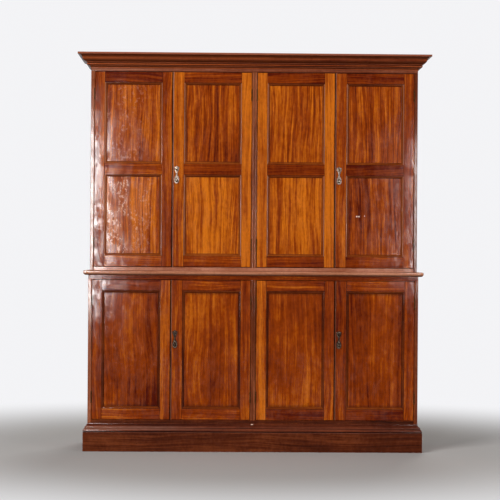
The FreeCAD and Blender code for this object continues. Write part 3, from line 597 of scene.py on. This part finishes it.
dress("back_boards", [(bare_pine, 0.0), (bare_pine, -0.15), (bare_pine, 0.1)], arris=0.0005)
dress("shelves", [(bare_pine, 0.1), (bare_pine, 0.0)], arris=0.001)
dress("shelf_strips", [(bare_pine, -0.1)], arris=0.0006)

# Cornice
# Three lengths of run mahogany moulding, mitred at the front corners, with a pine rail and glue
# blocks behind that hold it square. It stands on the upper top and is open above.

# The cornice has painted shade in its hollows and under faces, and a pale arris tint that is wear and a
# painted highlight.
cornice_mahogany = wood(
    "cornice_mahogany",
    (tint(52, 14, 3), tint(112, 42, 16), tint(160, 76, 34)),
    ribbon=0.8,
    fade=-0.12,
    polish=0.25,
    wear_and_highlight=tint(150, 92, 72),
)
dress("cornice_moulding", [(cornice_mahogany, 0.31)])
dress("cornice_frame", [(bare_pine, -0.1)], arris=0.0006)

# Doors
# Eight mahogany leaves, each of stiles and rails, tenoned and grooved around loose flat panels of
# ribbon-striped wood, with a small mitred moulding round each panel.

# Painted shade round the rim of each panel.
panel_rim_shade = ((0.895, 0.93), (0.85, 0.895))
panel_tints = (tint(82, 16, 0), tint(149, 59, 2), tint(216, 115, 18))
upper_panel = wood("upper_panel", panel_tints, ribbon=1.15, fine=1.15, patchy=True, rim=panel_rim_shade)
lower_panel = wood(
    "lower_panel",
    panel_tints,
    ribbon=0.85,
    fine=0.7,
    cloud=1.8,
    fade=0.08,
    polish=0.35,
    patchy=True,
    rim=panel_rim_shade,
)
panel_woods = {"upper": upper_panel, "lower": lower_panel}
moulding_tints = (tint(70, 22, 4), tint(126, 54, 10), tint(176, 92, 30))
# Panel mouldings: painted shade in the quirk, and only a little painted shade on under faces.
moulding_look = {"ribbon": 0.6, "polish": 0.3, "quirk": (-0.1, 0.6), "under": 0.1}
plain_moulding = wood("plain_moulding", moulding_tints, **moulding_look)
worn_moulding = wood("worn_moulding", moulding_tints, wear_and_highlight=tint(200, 142, 108), **moulding_look)
# Bottom, top, left and right length of the moulding round a panel. The top length is darker as a
# painted shadow under the rail, and in a lower door the side lengths are darker as painted shade;
# in an upper door the side lengths take a pale arris tint that is wear and a painted highlight.
moulding_coats = {
    "upper": [(plain_moulding, 0.05), (plain_moulding, -0.2)] + [(worn_moulding, 0.0)] * 2,
    "lower": [(plain_moulding, -0.1), (plain_moulding, -0.2)] + [(plain_moulding, -0.3)] * 2,
}
# Left stile, right stile, bottom rail, an upper door's lock rail, and top rail.
frame_tones = {
    ("lower", 1): (-0.15, 0.08, -0.02, -0.25),
    ("lower", 2): (0.0, 0.02, -0.05, -0.12),
    ("lower", 3): (0.18, 0.0, -0.36, -0.11),
    ("lower", 4): (-0.10, -0.12, -0.45, -0.10),
    ("upper", 1): (-0.10, -0.10, 0.0, -0.08, -0.36),
    ("upper", 2): (0.17, 0.33, -0.10, -0.13, -0.20),
    ("upper", 3): (0.28, 0.35, -0.15, -0.26, -0.29),
    ("upper", 4): (0.05, 0.0, -0.15, -0.34, -0.25),
}
# An upper door's lower panel comes first.
panel_tones = {
    ("lower", 1): (-0.16,),
    ("lower", 2): (0.05,),
    ("lower", 3): (0.0,),
    ("lower", 4): (-0.17,),
    ("upper", 1): (0.03, -0.10),
    ("upper", 2): (0.18, -0.05),
    ("upper", 3): (0.15, 0.07),
    ("upper", 4): (-0.09, 0.04),
}
panel_wear = {("upper", 1): (1.0, 0.25)}
# The edges and arrises of a leaf are dark as painted shade in the gaps between the doors.
gap_shade_tints = (tint(30, 8, 2), tint(56, 18, 6), tint(90, 38, 16))
# A bead is pale as a painted highlight, with painted shade on its left flank.
bead_highlight_tints = (tint(110, 56, 36), tint(156, 92, 66), tint(196, 136, 110))
edge_mahogany = wood("edge_mahogany", gap_shade_tints, ribbon=0.7, polish=0.2)
bead_mahogany = wood("bead_mahogany", bead_highlight_tints, ribbon=0.7, shaded_left_flank=True)
frame_mahogany = wood("frame_mahogany", mahogany_tints, patchy=True)
rail_mahogany = wood("rail_mahogany", mahogany_tints, polish=0.2, patchy=True)
no_wear = (0.0, 0.0)
lock_rail = 3
for stage, door in frame_tones:
    leaf = f"{stage}_door_{door}"
    coats = [(frame_mahogany, tone) for tone in frame_tones[stage, door]]
    if stage == "upper":
        coats[lock_rail] = (rail_mahogany, frame_tones[stage, door][lock_rail])
    dress(leaf + "_frame", coats, arris=0.0018, rounds=bead_mahogany, edges=edge_mahogany)
    coats = []
    wear = []
    for index, tone in enumerate(panel_tones[stage, door]):
        coats += [(panel_woods[stage], tone)] + moulding_coats[stage]
        wear += [panel_wear.get((stage, door), no_wear)[index]] + [0.0] * len(moulding_coats[stage])
    dress(leaf + "_panels", coats, wear=wear)

# Butt hinges
# Sixteen brass butts, let flush into the doors and the carcass. The fixed leaf holds the pin, and
# each leaf is held by three slotted screws.


def metal(name, clean, patina, rough):
    """Old metal, rubbed bright in places and dull in others, with fine scratches."""
    finish, start = new_finish(name)
    place = start.node("ShaderNodeTexCoord", out="Object")
    tarnish = place.pattern((130, 130, 130), detail=5.0, rough=0.75).rise(0.3, 0.7)
    scratches = place.pattern((1400, 1400, 500), detail=1.0)
    dulling = 0.25
    start.surface(
        {
            "Base Color": tarnish.between(clean, patina),
            "Metallic": 1.0,
            "Roughness": tarnish * dulling + rough,
            "Normal": scratches.bump(strength=0.15, distance=0.0002),
        }
    )
    return finish


brown_brass = metal("brown_brass", tint(116, 76, 40), tint(58, 32, 16), rough=0.42)
dress("hinge_fixed_leaves", [(brown_brass, 0.0)])
for stage, door in frame_tones:
    dress(f"{stage}_door_{door}_hinge_leaves", [(brown_brass, 0.0)])

# Locks and flush bolts
# An iron lock is screwed to the back of each handled door, with a brass bolt. The other doors
# have a dovetailed brass flush bolt that runs in a groove in the meeting edge.

stages = ("lower", "upper")
handled_doors = (2, 4)
bolted_doors = (1, 3)
brass = metal("old_brass", tint(200, 170, 112), tint(132, 104, 62), rough=0.28)
iron = metal("dark_iron", tint(96, 90, 84), tint(62, 54, 48), rough=0.42)
for stage in stages:
    for door in handled_doors:
        dress(f"{stage}_door_{door}_lock_case", [(iron, 0.0)], arris=0.0008)
        dress(f"{stage}_door_{door}_lock_bolt", [(brass, 0.0)], arris=0.0005)
    for door in bolted_doors:
        dress(f"{stage}_door_{door}_flush_bolt", [(brass, 0.0)], arris=0.0004)

# Handle plates and drops
# A cast brass plate with a keyhole, pinned to the stile over a thin black sheet that stands for the
# shade in the plate's opening behind the drop, and a pierced pear-shaped drop that hangs on a pin
# between two cheeks. Those of the lower doors are darker.

plate_half = [
    (0.0, 1.0), (0.30, 1.0), (0.34, 0.93), (0.62, 0.95), (1.02, 0.95),
    (1.04, 0.84), (0.80, 0.74), (0.42, 0.62), (0.28, 0.53), (0.42, 0.45),
    (0.90, 0.36), (1.06, 0.20), (0.90, 0.06), (0.30, 0.0), (0.0, 0.0),
]
plate_hole_half = [(0.0, 0.40), (0.20, 0.40), (0.60, 0.28), (0.66, 0.17), (0.35, 0.09), (0.0, 0.09)]
drop_half = [
    (0.0, 0.90), (0.20, 0.90), (0.20, 0.76), (0.45, 0.66),
    (0.95, 0.46), (1.06, 0.22), (0.70, 0.04), (0.0, 0.04),
]
drop_hole_half = [(0.0, 0.64), (0.20, 0.62), (0.62, 0.42), (0.72, 0.24), (0.40, 0.15), (0.0, 0.15)]
pendant_half = [(0.0, 0.68), (0.14, 0.66), (0.10, 0.52), (0.34, 0.36), (0.22, 0.26), (0.0, 0.26)]
key_angles = range(-60, 241, 20)
key_radius = 0.0032
key_slot = 0.0024
key_length = 0.008
rim_angle = math.radians(60)


def outline(half, low, high):
    """A closed outline in a box, from the shares of its right half, listed from the top down."""
    middle = (low[0] + high[0]) / 2
    right = [(share * (high[0] - low[0]) / 2, low[2] + rise * (high[2] - low[2])) for share, rise in half]
    left = [(-x, z) for x, z in reversed(right) if x > 0]
    return [(middle + x, z) for x, z in right + left]


def key_outline(middle, height):
    """A keyhole: a round hole over a narrow slot."""
    sweep = [math.radians(angle) for angle in key_angles]
    ring = [(middle + key_radius * math.cos(turn), height + key_radius * math.sin(turn)) for turn in sweep]
    foot = height - key_length
    return ring + [(middle - key_slot / 2, foot), (middle + key_slot / 2, foot)]


def cast(loops, front, thick, rounding):
    """A flat upright casting with rounded edges: the first loop is its outline, others are holes."""
    curve = bpy.data.curves.new("casting", "CURVE")
    curve.dimensions = "2D"
    curve.fill_mode = "BOTH"
    curve.extrude = thick / 2 - rounding
    curve.bevel_depth = rounding
    curve.bevel_resolution = 2
    curve.offset = -rounding
    for kind, loop in loops:
        spline = curve.splines.new(kind)
        spline.points.add(len(loop) - 1)
        for point, (x, z) in zip(spline.points, loop):
            point.co = (x, z, 0.0, 1.0)
        spline.order_u = 3
        spline.use_cyclic_u = True
        spline.resolution_u = 4
    pattern = bpy.data.objects.new("casting", curve)
    mesh = bpy.data.meshes.new_from_object(pattern)
    middle = Matrix.Translation((0.0, front + thick / 2, 0.0))
    mesh.transform(middle @ Matrix.Rotation(square_corner, 4, "X"))
    bpy.data.objects.remove(pattern)
    bpy.data.curves.remove(curve)
    return mesh


def rod(middle, radius, length):
    """A round rod across the door, with eased ends."""
    shape = bmesh.new()
    bmesh.ops.create_cone(shape, segments=18, radius1=radius, radius2=radius, depth=length, cap_ends=True)
    rims = [edge for edge in shape.edges if edge.calc_face_angle() > rim_angle]
    bmesh.ops.bevel(shape, geom=rims, offset=0.0003, segments=2, profile=0.5, affect="EDGES")
    mesh = bpy.data.meshes.new("rod")
    shape.to_mesh(mesh)
    shape.free()
    mesh.transform(Matrix.Translation(middle) @ Matrix.Rotation(square_corner, 4, "Y"))
    return mesh


def stand_in(node, meshes):
    """One piece from several meshes, each with its finish, in place of a CAD node."""
    shape = bmesh.new()
    finishes = list(dict.fromkeys(finish for mesh, finish in meshes))
    for mesh, finish in meshes:
        mesh.polygons.foreach_set("material_index", [finishes.index(finish)] * len(mesh.polygons))
        shape.from_mesh(mesh)
        bpy.data.meshes.remove(mesh)
    bmesh.ops.remove_doubles(shape, verts=shape.verts[:], dist=hair)
    bmesh.ops.recalc_face_normals(shape, faces=shape.faces[:])
    mesh = bpy.data.meshes.new(node + "_finished")
    shape.to_mesh(mesh)
    shape.free()
    for finish in finishes:
        mesh.materials.append(finish)
    mesh.shade_smooth()
    mesh.set_sharp_from_angle(angle=smooth_angle)
    piece = bpy.data.objects.new(mesh.name, mesh)
    bpy.context.scene.collection.objects.link(piece)
    settle(piece, node)


plate_thick = 0.0024
plate_rounding = 0.0006
ground_thick = 0.0006
ground_rounding = 0.0001
drop_thick = 0.0036
drop_rounding = 0.0012
pendant_sink = 0.0004
pendant_rounding = 0.001
cheek_thick = 0.0018
eye_width = 0.0046
eye_clear = 0.0002
pin_radius = 0.0012
silvered_brass = metal("silvered_brass", tint(220, 196, 176), tint(72, 54, 46), rough=0.26)
dulled_brass = metal("dulled_brass", tint(172, 148, 130), tint(44, 32, 26), rough=0.26)
tarnished_brass = metal("tarnished_brass", tint(128, 108, 92), tint(26, 18, 13), rough=0.26)
blackened_brass = metal("blackened_brass", tint(78, 62, 52), tint(16, 10, 7), rough=0.26)
# A black sheet behind each plate: painted shade seen through the plate's opening.
black_wax = metal("black_wax", tint(40, 26, 18), tint(22, 14, 10), rough=0.6)
plate_finishes = {"lower": blackened_brass, "upper": dulled_brass}
drop_finishes = {"lower": tarnished_brass, "upper": silvered_brass}
pivots = {joint["name"]: joint.get("pos_m") for joint in frame["joints"]}
openings = {opening["name"]: opening["box_m"] for opening in frame["record"]["physics"]["openings"]}
for stage in stages:
    plate_finish = plate_finishes[stage]
    drop_finish = drop_finishes[stage]
    for door in handled_doors:
        leaf = f"{stage}_door_{door}"
        pivot = Vector(pivots[leaf + "_drop_pivot"])
        low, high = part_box(leaf + "_handle_plate")
        key_low, key_high = openings[leaf + "_keyhole"]
        plate_edge = ("NURBS", outline(plate_half, low, high))
        plate_hole = ("NURBS", outline(plate_hole_half, low, high)[::-1])
        keyhole = ("POLY", key_outline(pivot.x, (key_low[2] + key_high[2]) / 2))
        plate_front = high[1] - plate_thick
        plate_body = plate_thick - ground_thick / 2
        ground_front = high[1] - ground_thick
        eye_half = pivot.y - low[1]
        fork = eye_width + 2 * eye_clear + 2 * cheek_thick
        plate = cast([plate_edge, plate_hole, keyhole], plate_front, plate_body, plate_rounding)
        ground = cast([plate_edge, keyhole], ground_front, ground_thick, ground_rounding)
        meshes = [(plate, plate_finish), (ground, black_wax), (rod(pivot, pin_radius, fork), plate_finish)]
        for hand in (-1, 1):
            cheek = pivot + Vector((hand * (fork - cheek_thick) / 2, 0.0, 0.0))
            meshes.append((rod(cheek, eye_half, cheek_thick), plate_finish))
        stand_in(leaf + "_handle_plate", meshes)
        low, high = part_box(leaf + "_drop_handle")
        drop_edge = ("NURBS", outline(drop_half, low, high))
        drop_hole = ("NURBS", outline(drop_hole_half, low, high)[::-1])
        pendant_edge = ("NURBS", outline(pendant_half, low, high))
        drop_front = pivot.y - drop_thick / 2
        pendant_thick = drop_thick - 2 * pendant_sink
        drop = cast([drop_edge, drop_hole], drop_front, drop_thick, drop_rounding)
        pendant = cast([pendant_edge], drop_front + pendant_sink, pendant_thick, pendant_rounding)
        eye = rod(pivot, eye_half, eye_width)
        stand_in(leaf + "_drop_handle", [(drop, drop_finish), (pendant, drop_finish), (eye, drop_finish)])

# Screws, nails and pins
# Three slotted brass screws in each hinge leaf, four iron ones in each lock, pairs of wire nails at
# the top, middle and bottom of each back board, and two brass pins in each handle plate.


def fastener_head(name, radius, rise, slot=0.0):
    """A low round head, in two halves where it has a slot for the driver."""
    shape = bmesh.new()
    sides = 12
    sunk = radius / 3
    crown = radius * 0.8
    halves = (0, 180) if slot else (0,)
    sweep = 180 if slot else 360 - 360 / sides
    for half in halves:
        turns = [math.radians(half + step * sweep / (sides - 1)) for step in range(sides)]
        shift = Vector((-math.sin(math.radians(half)), math.cos(math.radians(half)), 0.0)) * slot / 2
        rings = []
        for ring_radius, height in ((radius, -sunk), (radius, rise / 2), (crown, rise)):
            ring = [Vector((math.cos(turn), math.sin(turn), 0.0)) * ring_radius + shift for turn in turns]
            rings.append([shape.verts.new(point + Vector((0.0, 0.0, height))) for point in ring])
        for lower, upper in zip(rings, rings[1:]):
            for index in range(sides):
                after = (index + 1) % sides
                shape.faces.new((lower[index], lower[after], upper[after], upper[index]))
        shape.faces.new(rings[-1])
        shape.faces.new(rings[0][::-1])
    mesh = bpy.data.meshes.new(name)
    shape.to_mesh(mesh)
    shape.free()
    return bpy.data.objects.new(name, mesh)


def fastener_tree():
    """Sets a head on every point, facing the way that the point says and turned at random."""
    tree = bpy.data.node_groups.new("fasteners", "GeometryNodeTree")
    tree.interface.new_socket("Places", in_out="INPUT", socket_type="NodeSocketGeometry")
    head = tree.interface.new_socket("Head", in_out="INPUT", socket_type="NodeSocketObject")
    finish = tree.interface.new_socket("Finish", in_out="INPUT", socket_type="NodeSocketMaterial")
    seed = tree.interface.new_socket("Seed", in_out="INPUT", socket_type="NodeSocketInt")
    tree.interface.new_socket("Heads", in_out="OUTPUT", socket_type="NodeSocketGeometry")
    start = Wire(tree)
    given = start.node("NodeGroupInput")
    shape = start.node("GeometryNodeObjectInfo", None, {"Object": given.other("Head")}, out="Geometry")
    vector_kind = {"data_type": "FLOAT_VECTOR"}
    facing = start.node("GeometryNodeInputNamedAttribute", vector_kind, {"Name": "facing"})
    upright = start.node("FunctionNodeAlignRotationToVector", {"axis": "Z"}, {"Vector": facing})
    turn_sockets = {2: 0.0, 3: math.tau, "Seed": given.other("Seed")}
    turn = start.node("FunctionNodeRandomValue", {"data_type": "FLOAT"}, turn_sockets, out=1)
    spin = start.node("FunctionNodeAxisAngleToRotation", None, {"Axis": (0.0, 0.0, 1.0), "Angle": turn})
    pose_sockets = {"Rotation": upright, "Rotate By": spin}
    pose = start.node("FunctionNodeRotateRotation", {"rotation_space": "LOCAL"}, pose_sockets)
    head_sockets = {"Points": given, "Instance": shape, "Rotation": pose}
    heads = start.node("GeometryNodeInstanceOnPoints", None, head_sockets)
    real = start.node("GeometryNodeRealizeInstances", None, {"Geometry": heads})
    finish_sockets = {"Geometry": real, "Material": given.other("Finish")}
    coated = start.node("GeometryNodeSetMaterial", None, finish_sockets)
    start.node("NodeGroupOutput", None, {"Heads": coated})
    return tree, {"head": head.identifier, "finish": finish.identifier, "seed": seed.identifier}


fasteners, fastener_inputs = fastener_tree()


def drive(name, body, head, finish, places):
    """One mesh with a head at each place. A place is a point and the way that the head faces. The
    length of the name is the seed of the heads' turns."""
    mesh = bpy.data.meshes.new(name)
    mesh.from_pydata([point for point, facing in places], [], [])
    facings = [part for point, facing in places for part in facing]
    mesh.attributes.new("facing", "FLOAT_VECTOR", "POINT").data.foreach_set("vector", facings)
    places_object = bpy.data.objects.new(name + "_places", mesh)
    bpy.context.scene.collection.objects.link(places_object)
    setter = places_object.modifiers.new("fasteners", "NODES")
    setter.node_group = fasteners
    setter[fastener_inputs["head"]] = head
    setter[fastener_inputs["finish"]] = finish
    setter[fastener_inputs["seed"]] = len(name)
    ready = places_object.evaluated_get(bpy.context.evaluated_depsgraph_get())
    heads = bpy.data.meshes.new_from_object(ready)
    heads.name = name
    bpy.data.objects.remove(places_object)
    piece = bpy.data.objects.new(name, heads)
    bpy.context.scene.collection.objects.link(piece)
    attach(piece, body)


screw_head = fastener_head("screw_head", radius=0.0022, rise=0.0002, slot=0.0005)
nail_head = fastener_head("nail_head", radius=0.0024, rise=0.00005)
pin_head = fastener_head("pin_head", radius=0.0011, rise=0.0005)
to_front = (0.0, -1.0, 0.0)
to_back = (0.0, 1.0, 0.0)
leaf_gap = 0.0008
leaf_rows = (1 / 6, 1 / 2, 5 / 6)
screw_line = 0.38
screw_stagger = 0.0025
lock_screw_inset = 0.006
plate_pin_rises = (0.035, 0.93)
fixed_places = []
for stage, door in frame_tones:
    leaf = f"{stage}_door_{door}"
    pin_x = pivots[leaf + "_hinge"][0]
    inward = 1 if door in bolted_doors else -1
    door_places = []
    for skin in solids_of(leaf + "_hinge_leaves"):
        low, high = box_of(sum(skin, []))
        depth = high[1] - (high[1] - low[1]) * screw_line
        for row in leaf_rows:
            stagger = screw_stagger if row == leaf_rows[1] else -screw_stagger
            height = low[2] + row * (high[2] - low[2])
            door_places.append(((pin_x + inward * leaf_gap, depth + stagger, height), (-inward, 0.0, 0.0)))
            fixed_places.append(((pin_x - inward * leaf_gap, depth + stagger, height), (inward, 0.0, 0.0)))
    drive(leaf + "_hinge_screws", leaf, screw_head, brown_brass, door_places)
    if door in bolted_doors:
        continue
    low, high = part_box(leaf + "_lock_case")
    lock_places = []
    for x in (low[0] + lock_screw_inset, high[0] - lock_screw_inset):
        for z in (low[2] + lock_screw_inset, high[2] - lock_screw_inset):
            lock_places.append(((x, high[1], z), to_back))
    drive(leaf + "_lock_screws", leaf, screw_head, iron, lock_places)
    low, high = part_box(leaf + "_handle_plate")
    pin_places = []
    for rise in plate_pin_rises:
        height = low[2] + rise * (high[2] - low[2])
        pin_places.append(((pivots[leaf + "_drop_pivot"][0], high[1] - plate_thick, height), to_front))
    drive(leaf + "_plate_pins", leaf, pin_head, silvered_brass, pin_places)
drive("fixed_hinge_screws", "carcass", screw_head, brown_brass, fixed_places)
nail_places = []
nail_inset = 0.022
for skin in solids_of("back_boards"):
    low, high = box_of(sum(skin, []))
    for z in (low[2] + nail_inset / 2, (low[2] + high[2]) / 2, high[2] - nail_inset / 2):
        for x in (low[0] + nail_inset, high[0] - nail_inset):
            nail_places.append(((x, high[1], z), to_back))
drive("back_board_nails", "carcass", nail_head, iron, nail_places)

# Filler
# Dabs of pale filler, pressed into three old holes in the fourth upper door's lower panel and into
# a chipped place on the plinth's top edge.

filler_finish, start = new_finish("filler")
grit = start.node("ShaderNodeTexCoord", out="Object").pattern((900, 900, 900), detail=3.0)
grit_roughness = 0.3
least_roughness = 0.65
start.surface(
    {
        "Base Color": grit.rise(0.35, 0.65).between(tint(238, 198, 170), tint(255, 228, 204)),
        "Roughness": grit * grit_roughness + least_roughness,
        "Normal": grit.bump(strength=0.3, distance=0.0002),
    }
)
filler_rise = 0.0003
large_dab = fastener_head("large_dab", radius=0.0042, rise=filler_rise)
small_dab = fastener_head("small_dab", radius=0.0022, rise=filler_rise)
large_spots = ((0.558, 1.276), (0.570, 1.276))
small_spots = ((0.600, 1.279),)
chip_spots = (-0.008, -0.004, 0.0)
chip_drop = 0.0025
panel_front = box_of(sum(solids_of("upper_door_4_panels")[0], []))[0][1]
plinth_low, plinth_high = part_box("plinth_boards")
chip_depth = plinth_low[1] + filler_rise / 2
chip_height = plinth_high[2] - chip_drop
large_places = [((x, panel_front, z), to_front) for x, z in large_spots]
small_places = [((x, panel_front, z), to_front) for x, z in small_spots]
chip_places = [((x, chip_depth, chip_height), to_front) for x in chip_spots]
drive("upper_door_4_large_filler", "upper_door_4", large_dab, filler_finish, large_places)
drive("upper_door_4_small_filler", "upper_door_4", small_dab, filler_finish, small_places)
drive("plinth_filler", "carcass", small_dab, filler_finish, chip_places)

# Floor and light
# A plain pale floor that fades into the background. A large soft light stands at the upper left,
# weaker ones at the right and behind, and two tall narrow ones far in front glint in the polish.

floor_half = 9.0
floor_mesh = bpy.data.meshes.new("floor")
floor_corners = [(x * floor_half, y * floor_half, 0.0) for x, y in ((-1, -1), (1, -1), (1, 1), (-1, 1))]
floor_mesh.from_pydata(floor_corners, [], [(0, 1, 2, 3)])
floor = bpy.data.objects.new("floor", floor_mesh)
bpy.context.scene.collection.objects.link(floor)
pale = (0.9, 0.9, 0.92, 1.0)
white = (1.0, 1.0, 1.0, 1.0)
floor_fade = (1.2, 3.4)
floor_behind = (-0.5, 0.5)
sky_behind = (-0.4, 0.0)
sky_strength = 0.10


def shows_background(path, behind):
    """Which rays see the background: the camera's, and mirrored or refracted ones that go behind."""
    return path + (path.other("Is Glossy Ray") + path.other("Is Transmission Ray")) * behind


floor_finish, start = new_finish("floor")
floor_place = start.node("ShaderNodeTexCoord", out="Object")
reach = start.node("ShaderNodeVectorMath", {"operation": "LENGTH"}, {0: floor_place}, out="Value")
near = start.node("ShaderNodeBsdfDiffuse", None, {"Color": tint(206, 203, 200)})
far = start.node("ShaderNodeEmission", None, {"Color": pale})
floor_path = start.node("ShaderNodeLightPath", out="Is Camera Ray")
floor_seen = shows_background(floor_path, floor_place.parts().other(1).rise(*floor_behind))
faded = start.node("ShaderNodeMixShader", None, {0: reach.rise(*floor_fade) * floor_seen, 1: near, 2: far})
start.node("ShaderNodeOutputMaterial", None, {"Surface": faded})
floor_mesh.materials.append(floor_finish)

world = bpy.data.worlds.new("studio")
bpy.context.scene.world = world
world.use_nodes = True
world.node_tree.nodes.clear()
sky = Wire(world.node_tree)
sky_path = sky.node("ShaderNodeLightPath", out="Is Camera Ray")
ways = sky.node("ShaderNodeTexCoord", out="Generated").parts()
sky_seen = shows_background(sky_path, ways.other(1).rise(*sky_behind))
soft = sky.node("ShaderNodeBackground", None, {"Color": white, "Strength": sky_strength})
backdrop = sky.node("ShaderNodeBackground", None, {"Color": pale, "Strength": 1.0})
shown = sky.node("ShaderNodeMixShader", None, {0: sky_seen, 1: soft, 2: backdrop})
sky.node("ShaderNodeOutputWorld", None, {"Surface": shown})
middle_height = (cad_box[0][2] + cad_box[1][2]) / 2
aim = Vector((0.0, 0.0, middle_height))


def soft_light(name, place, size, power):
    """A rectangle of light that faces the middle of the object, unseen by the camera."""
    data = bpy.data.lights.new(name, "AREA")
    data.shape = "RECTANGLE"
    data.size, data.size_y = size
    data.energy = power
    lamp = bpy.data.objects.new(name, data)
    lamp.location = place
    lamp.rotation_euler = (aim - Vector(place)).to_track_quat("-Z", "Y").to_euler()
    lamp.visible_camera = False
    bpy.context.scene.collection.objects.link(lamp)


soft_light("upper_left_light", place=(-3.4, -5.2, 6.0), size=(2.6, 2.6), power=262)
soft_light("right_light", place=(4.5, -6.0, 2.6), size=(3.0, 3.0), power=100)
soft_light("back_light", place=(1.5, 7.0, 4.5), size=(3.0, 3.0), power=240)
soft_light("left_window", place=(-1.78, -11.0, 1.46), size=(0.64, 2.1), power=250)
soft_light("right_window", place=(2.24, -11.0, 1.5), size=(0.32, 1.6), power=84)

# Camera
# It stands about ten metres off, level with the middle of the object and a little to its left,
# and has a narrow view.

camera_place = (-0.215, -10.24, 1.091)
camera_turn = math.radians(-1.113)
camera_roll = math.radians(0.386)
camera_view = math.radians(15.37)
camera_data = bpy.data.cameras.new("camera")
camera_data.angle = camera_view
camera = bpy.data.objects.new("camera", camera_data)
camera.matrix_world = (
    Matrix.Translation(camera_place)
    @ Matrix.Rotation(camera_turn, 4, "Z")
    @ Matrix.Rotation(square_corner, 4, "X")
    @ Matrix.Rotation(camera_roll, 4, "Z")
)
bpy.context.scene.collection.objects.link(camera)
bpy.context.scene.camera = camera
bpy.context.scene.view_settings.view_transform = "Standard"
